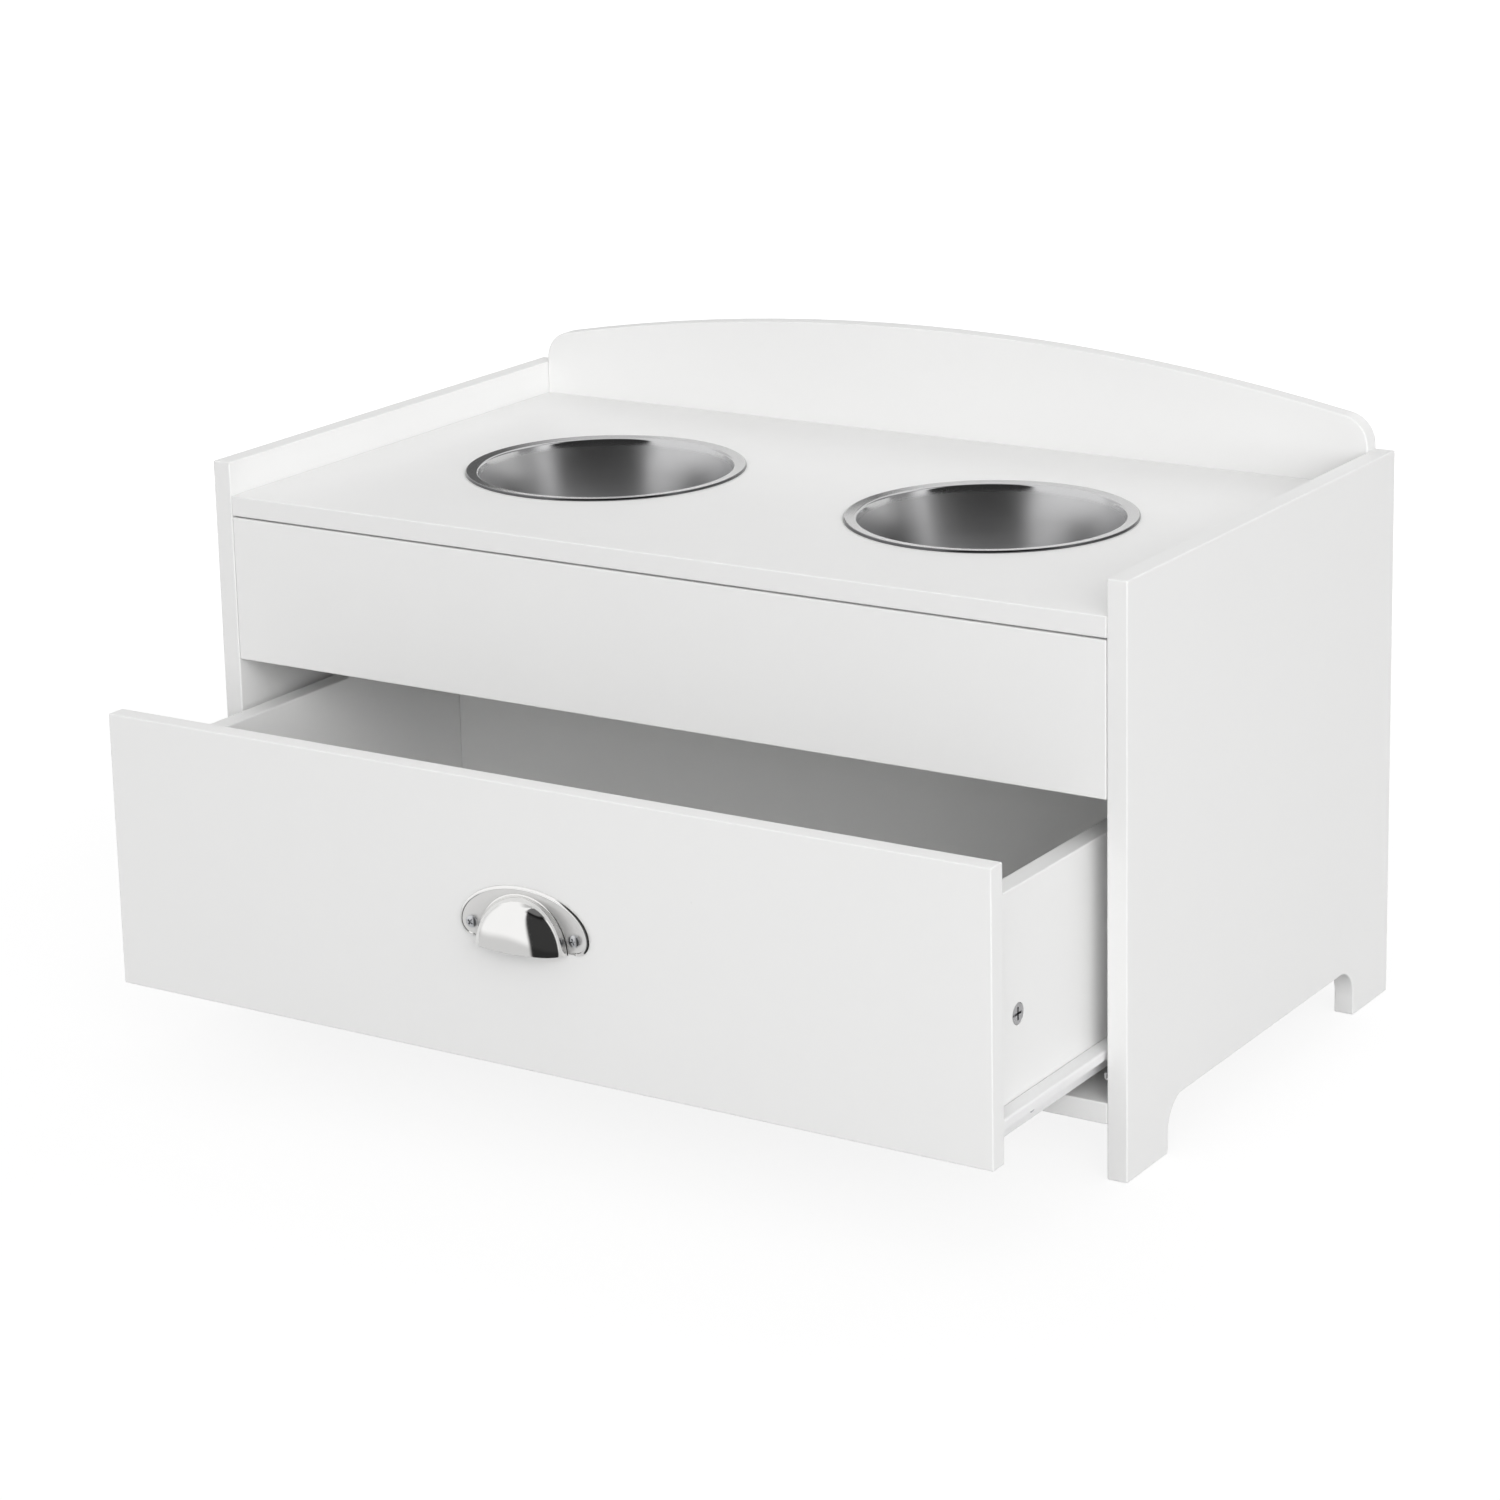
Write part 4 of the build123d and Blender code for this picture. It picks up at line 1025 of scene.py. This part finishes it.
class FEEDER_OT_slide_screws(bpy.types.Operator):
    """Set the flat-headed screws that hold the slide members"""

    bl_idname = "feeder.slide_screws"
    bl_label = "Slide screws"

    def execute(self, context):
        s = context.scene.feeder_screws
        zinc = context.scene.feeder_finishes.zinc
        finish = plated_finish(
            "zinc, slide screws", zinc, (1, 1, 1), line=0.0005, depth=6e-7, rough=0.26,
            spread=0.12, tone=0.06,
        )
        for body, outward in (("cabinet", -1), ("drawer", 1)):
            seats = [
                side_seat(low, high, side_of(low, high) * outward, s.flat_height, 0.4 + 0.7 * i)
                for i, (low, high) in enumerate(solids_of(body + "_slide_screws"))
            ]
            set_screws(
                body + "_slide_screws_flat_head", body + "_slide_screws", body, "zinc_steel",
                seats, finish, s, Head_Radius=s.flat_radius, Head_Height=s.flat_height,
                Crown=0.4, Shank_Length=0.0099, Recess_Depth=s.flat_height * 0.8,
            )
        return {"FINISHED"}


class FEEDER_OT_back_screws(bpy.types.Operator):
    """Set the countersunk screws of the drawer's rear corners"""

    bl_idname = "feeder.back_screws"
    bl_label = "Drawer back screws"

    def execute(self, context):
        s = context.scene.feeder_screws
        zinc = context.scene.feeder_finishes.zinc
        finish = plated_finish(
            "zinc, drawer back screws", zinc, (1, 1, 1), line=0.0005, depth=6e-7, rough=0.24,
            spread=0.12, tone=0.06,
        )
        seats = [
            side_seat(low, high, side_of(low, high), SUNK, 0.2 + 0.9 * i)
            for i, (low, high) in enumerate(solids_of("drawer_back_screws"))
        ]
        set_screws(
            "drawer_back_screws_sunk", "drawer_back_screws", "drawer", "zinc_steel", seats, finish,
            s, Head_Radius=s.sunk_radius - SUNK, Head_Height=SUNK, Crown=0.0,
            Cone=s.sunk_depth - SUNK, Shank_Radius=0.0016, Shank_Length=0.0318,
        )
        return {"FINISHED"}


class FEEDER_OT_cam_locks(bpy.types.Operator):
    """Set the cam locks in their pockets"""

    bl_idname = "feeder.cam_locks"
    bl_label = "Cam locks"

    def execute(self, context):
        s = context.scene.feeder_screws
        finish = plated_finish(
            "cast nickel-zinc, cam locks", context.scene.feeder_finishes.cam, (1, 1, 1),
            line=0.0008, depth=2e-6, rough=0.30, spread=0.14, tone=0.10,
        )
        for body in ("cabinet", "drawer"):
            seats = []
            for low, high in solids_of(body + "_cam_locks"):
                size = high - low
                sideways = Vector((side_of(low, high), 0, 0))
                thin = min(range(3), key=lambda i: size[i])
                way = (sideways, BACK, DOWN)[thin]
                at = (low + high) / 2
                at[thin] = high[thin] if way[thin] > 0 else low[thin]
                seats.append((at, turn(way, sideways if thin else FRONT)))
            locks = places_mesh(body + "_cam_locks_cast", seats)
            run_tree(
                locks, shared("cam_locks"), Radius=max(size) / 2, Height=min(size),
                Recess_Reach=s.cam_reach, Recess_Width=s.cam_width, Recess_Depth=s.cam_depth,
                Finish=finish,
            )
            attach(locks, body)
            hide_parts(body + "_cam_locks")
        return {"FINISHED"}


# ---- finishes of the boards, panels, slides and hidden fittings -------------
# for each lacquer: the way through the boards that it covers, and those boards
STACKS = {
    "upright sides": ((1, 0, 0), (
        "left_side_panel", "right_side_panel", "drawer_left_side", "drawer_right_side",
    )),
    "fronts and backs": ((0, 1, 0), (
        "front_apron", "arched_backboard", "drawer_front", "drawer_back",
    )),
    "level boards": ((0, 0, 1), ("top_board", "bottom_board")),
}


class FEEDER_OT_boards(bpy.types.Operator):
    """Spray the boards with satin lacquer"""

    bl_idname = "feeder.boards"
    bl_label = "Lacquered boards"

    def execute(self, context):
        colours = context.scene.feeder_finishes
        for title, (through, nodes) in STACKS.items():
            lacquer = sprayed_finish(
                "white lacquer, " + title, colours.lacquer, colours.lacquer_edge, through,
                peel=0.0016, depth=0.000006, rough=0.40, edge_rough=0.5,
            )
            for node in nodes:
                dress(node, lacquer)
        return {"FINISHED"}


class FEEDER_OT_thin_panels(bpy.types.Operator):
    """Paint the thin back panel and drawer bottom"""

    bl_idname = "feeder.thin_panels"
    bl_label = "Thin panels"

    def execute(self, context):
        paint = context.scene.feeder_finishes.hardboard
        for node, through in (("back_panel", (0, 1, 0)), ("drawer_bottom", (0, 0, 1))):
            dress(node, sprayed_finish(
                "painted hardboard, " + node.replace("_", " "), paint, paint, through,
                peel=0.0007, depth=0.00001, rough=0.55, edge_rough=0.7, drift=0.03, dust=0.5,
            ))
        return {"FINISHED"}


class FEEDER_OT_slides(bpy.types.Operator):
    """Powder-coat the slide members"""

    bl_idname = "feeder.slides"
    bl_label = "Slide members"

    def execute(self, context):
        powder = context.scene.feeder_finishes.coated_steel
        coat = sprayed_finish(
            "powder-coated steel, slides", powder, powder, (1, 0, 0), peel=0.0005,
            depth=0.000012, rough=0.36, edge_rough=0.36, drift=0.015, dust=0.2,
        )
        for side in ("left", "right"):
            dress(side + "_cabinet_slide", coat)
            dress(side + "_drawer_slide", coat)
        return {"FINISHED"}


class FEEDER_OT_rollers(bpy.types.Operator):
    """Finish the nylon rollers and their riveted axles"""

    bl_idname = "feeder.rollers"
    bl_label = "Rollers and axles"

    def execute(self, context):
        colours = context.scene.feeder_finishes
        nylon = sprayed_finish(
            "moulded nylon, rollers", colours.nylon, colours.nylon, (1, 0, 0), peel=0.0004,
            depth=0.000006, rough=0.42, edge_rough=0.46, drift=0.03, dust=0.0,
        )
        for row in ("front", "rear"):
            for side in ("left", "right"):
                dress(f"{row}_{side}_roller", nylon)
        axle = plated_finish(
            "zinc, roller axles", colours.zinc, (0.2, 1, 1), line=0.0004, depth=8e-7, rough=0.28,
            spread=0.12, tone=0.06,
        )
        dress("cabinet_roller_axles", axle)
        dress("drawer_roller_axles", axle)
        return {"FINISHED"}


class FEEDER_OT_joinery(bpy.types.Operator):
    """Finish the cam bolts and the dowels inside the joints"""

    bl_idname = "feeder.joinery"
    bl_label = "Bolts and dowels"

    def execute(self, context):
        colours = context.scene.feeder_finishes
        bolt = plated_finish(
            "zinc, cam bolts", colours.zinc, (0.15, 1, 1), line=0.0005, depth=1e-6, rough=0.3,
            spread=0.14, tone=0.08,
        )
        for body, stretch in (("cabinet", (0.08, 1, 1)), ("drawer", (1, 0.08, 1))):
            dress(body + "_cam_bolts", bolt)
            dress(body + "_dowels", beech_finish(
                f"beech, {body} dowels", colours.beech, colours.beech_dark, stretch
            ))
        return {"FINISHED"}


# ---- studio -----------------------------------------------------------------
WHITE = (1, 1, 1, 1)
# half width of the paper floor, its level, and how far out its shadow begins and ends to fade
FLOOR_HALF = 30.0
FLOOR_LEVEL = -0.0004
FADE = (0.5, 1.7)
# what all the lamps look at
LAMP_AIM = Vector((0, 0, 0.15))
# each lamp: name, azimuth from the front, elevation, watts
LAMPS = (
    ("key lamp", 45, 28, 125.0),
    ("camera lamp", 32, 17, 192.0),
    ("right lamp", 62, 15, 155.0),
    ("overhead lamp", 0, 88, 30.0),
    ("rear lamp", 180, 45, 100.0),
    ("rear left lamp", -120, 40, 85.0),
)
# each screen: from and to azimuth, from and to elevation, softness, brightness
SCREENS = (
    (-8, 87, -120, 66, 3.5, 0.04),
    (-14, 150, 57, 110, 6, 0.16),
    (-200, -40, 72, 110, 9, 0.55),
    (-132, -86, -9, 30, 9, 0.70),
    (-200, 200, -120, -8, 4, 0.66),
    (-165, -137, -8, 25, 4, 0.14),
    (102, 175, -10, 42, 8, 0.35),
)


def studio_screen_group():
    """How much of the studio's white wall is left behind one dark or grey screen."""
    wires, g, out = new_tree(
        "studio_screen", "ShaderNodeTree", {"Share": "Float"}, Azimuth=0.0, Elevation=0.0,
        Left=-10.0, Right=10.0, Low=-10.0, High=10.0, Soft=4.0, Level=0.2,
    )

    def side(value, edge, out_low, out_high):
        low, high = wires.minus(edge, g["Soft"]), wires.plus(edge, g["Soft"])
        return wires.ramp(value, low, high, out_low, out_high, smooth=True)

    def window(value, low, high):
        return wires.times(side(value, low, 0.0, 1.0), side(value, high, 1.0, 0.0))

    across = window(g["Azimuth"], g["Left"], g["Right"])
    mask = wires.times(across, window(g["Elevation"], g["Low"], g["High"]))
    taken = wires.times(mask, wires.minus(g["Level"], 1.0))
    wires.fill(out, Share=wires.plus(taken, 1.0))
    return wires.tree


def cleared(owner):
    """The emptied node tree of a world or a material, ready to be wired."""
    owner.use_nodes = True
    owner.node_tree.nodes.clear()
    return Wiring(owner.node_tree)


def studio_world(context, settings):
    """Even light, the studio's screens in the mirror image, and white for the camera."""
    context.scene.world = context.scene.world or bpy.data.worlds.new("studio")
    wires = cleared(context.scene.world)
    x, y, z = wires.split(wires.add("ShaderNodeTexCoord").outputs["Generated"])
    azimuth = wires.math("DEGREES", wires.math("ARCTAN2", x, wires.times(y, -1.0)))
    elevation = wires.math("DEGREES", wires.math("ARCSINE", z))
    screen = studio_screen_group()
    level = 1.0
    for left, right, low, high, soft, bright in SCREENS:
        made = wires.group(screen, Azimuth=azimuth, Elevation=elevation, Left=left, Right=right,
                           Low=low, High=high, Soft=soft, Level=bright)
        level = wires.times(level, made[0])
    even = wires.put(
        "ShaderNodeBackground", Color=(1.0, 0.998, 0.995, 1), Strength=settings.ambient
    )
    studio = wires.put("ShaderNodeBackground", Color=WHITE, Strength=level)
    seen = wires.put("ShaderNodeBackground", Color=WHITE, Strength=1.0)
    paths = wires.add("ShaderNodeLightPath").outputs
    lit = wires.put("ShaderNodeMixShader", paths["Is Glossy Ray"], even, studio)
    shown = wires.math("MAXIMUM", paths["Is Camera Ray"], paths["Is Transmission Ray"])
    last = wires.put("ShaderNodeMixShader", shown, lit, seen)
    wires.fill(wires.add("ShaderNodeOutputWorld"), Surface=last)


def paper_floor(settings):
    """A wide sheet of white paper under the cabinet, which keeps a soft shadow."""
    corners = ((-1, -1), (1, -1), (1, 1), (-1, 1))
    floor = new_piece(
        "paper_floor", [(x * FLOOR_HALF, y * FLOOR_HALF, FLOOR_LEVEL) for x, y in corners],
        (), [(0, 1, 2, 3)],
    )
    made = bpy.data.materials.new("white paper floor")
    wires = cleared(made)
    fibre = wires.noise(wires.place(), 300.0, 4.0, 0.6)
    paper = wires.shade(rgb(settings.floor), wires.ramp(fibre, 0.3, 0.7, 0.99, 1.0))
    matt = wires.put("ShaderNodeBsdfDiffuse", Color=paper)
    glow = wires.put("ShaderNodeEmission", Color=WHITE, Strength=settings.floor_glow)
    paths = wires.add("ShaderNodeLightPath").outputs
    away = wires.vector("LENGTH", wires.place())
    faded = wires.ramp(away, *FADE, settings.floor_lift, 1.0, smooth=True)
    lift = wires.times(paths["Is Camera Ray"], faded)
    sheet = wires.put("ShaderNodeMixShader", lift, matt, glow)
    unseen = wires.put("ShaderNodeBsdfTransparent")
    last = wires.put("ShaderNodeMixShader", paths["Is Glossy Ray"], sheet, unseen)
    wires.fill(wires.add("ShaderNodeOutputMaterial"), Surface=last)
    floor.data.materials.append(made)


def direction(azimuth, elevation):
    """Away from the cabinet, azimuth to the right of the front, elevation above the horizon."""
    level = math.cos(elevation)
    return Vector((math.sin(azimuth) * level, -math.cos(azimuth) * level, math.sin(elevation)))


def softbox(settings, name, azimuth, elevation, watts):
    """A square soft lamp that faces the cabinet and isn't mirrored in it."""
    light = bpy.data.lights.new(name, "AREA")
    light.size = settings.box
    light.energy = watts * settings.lamps
    way = direction(math.radians(azimuth), math.radians(elevation))
    lamp = bpy.data.objects.new(name, light)
    bpy.context.scene.collection.objects.link(lamp)
    lamp.location = LAMP_AIM + way * settings.distance
    lamp.rotation_mode = "QUATERNION"
    lamp.rotation_quaternion = (-way).to_track_quat("-Z", "Y")
    lamp.visible_camera = False
    lamp.visible_glossy = False


def stand_camera(context, settings):
    lens = bpy.data.cameras.new("camera")
    lens.sensor_fit = "HORIZONTAL"
    lens.sensor_width = 36.0
    lens.lens = settings.lens
    lens.shift_x, lens.shift_y = settings.shift
    lens.clip_start, lens.clip_end = 0.05, 200.0
    camera = bpy.data.objects.new("camera", lens)
    context.scene.collection.objects.link(camera)
    back = direction(settings.azimuth, settings.elevation)
    right = (-back).cross(UP).normalized()
    up = right.cross(-back)
    c, s = math.cos(settings.roll), math.sin(settings.roll)
    turned = Matrix((right * c + up * s, up * c - right * s, back)).transposed().to_4x4()
    camera.matrix_world = Matrix.Translation(Vector(settings.camera)) @ turned
    context.scene.camera = camera


class FEEDER_OT_stage(bpy.types.Operator):
    """Stand the camera, the lamps, the white surround and the paper floor"""

    bl_idname = "feeder.stage"
    bl_label = "Studio"

    def execute(self, context):
        settings = context.scene.feeder_studio
        stand_camera(context, settings)
        studio_world(context, settings)
        paper_floor(settings)
        for lamp in LAMPS:
            softbox(settings, *lamp)
        context.scene.view_settings.view_transform = "Standard"
        return {"FINISHED"}


class FEEDER_PT_sidebar(bpy.types.Panel):
    """Lists the steps that finish the feeder"""

    bl_label = "Feeder"
    bl_idname = "FEEDER_PT_sidebar"
    bl_space_type = "VIEW_3D"
    bl_region_type = "UI"
    bl_category = "Feeder"

    def draw(self, context):
        column = self.layout.column(align=True)
        for step in STEPS:
            column.operator(step.bl_idname)


STEPS = (
    FEEDER_OT_stage,
    FEEDER_OT_boards,
    FEEDER_OT_thin_panels,
    FEEDER_OT_slides,
    FEEDER_OT_rollers,
    FEEDER_OT_joinery,
    FEEDER_OT_bowls,
    FEEDER_OT_cup_pull,
    FEEDER_OT_pull_screws,
    FEEDER_OT_slide_screws,
    FEEDER_OT_back_screws,
    FEEDER_OT_cam_locks,
)
GROUPS = {
    "feeder_bowls": BowlSizes,
    "feeder_pull": PullSizes,
    "feeder_screws": ScrewSizes,
    "feeder_finishes": FinishColours,
    "feeder_studio": StudioSettings,
}


def register():
    for kind in (*GROUPS.values(), *STEPS, FEEDER_PT_sidebar):
        bpy.utils.register_class(kind)
    for name, kind in GROUPS.items():
        setattr(bpy.types.Scene, name, PointerProperty(type=kind))


def unregister():
    for name in GROUPS:
        delattr(bpy.types.Scene, name)
    for kind in (FEEDER_PT_sidebar, *reversed(STEPS), *reversed(GROUPS.values())):
        bpy.utils.unregister_class(kind)


def main():
    register()
    for step in STEPS:
        group, action = step.bl_idname.split(".")
        getattr(getattr(bpy.ops, group), action)()


if __name__ == "__main__":
    main()
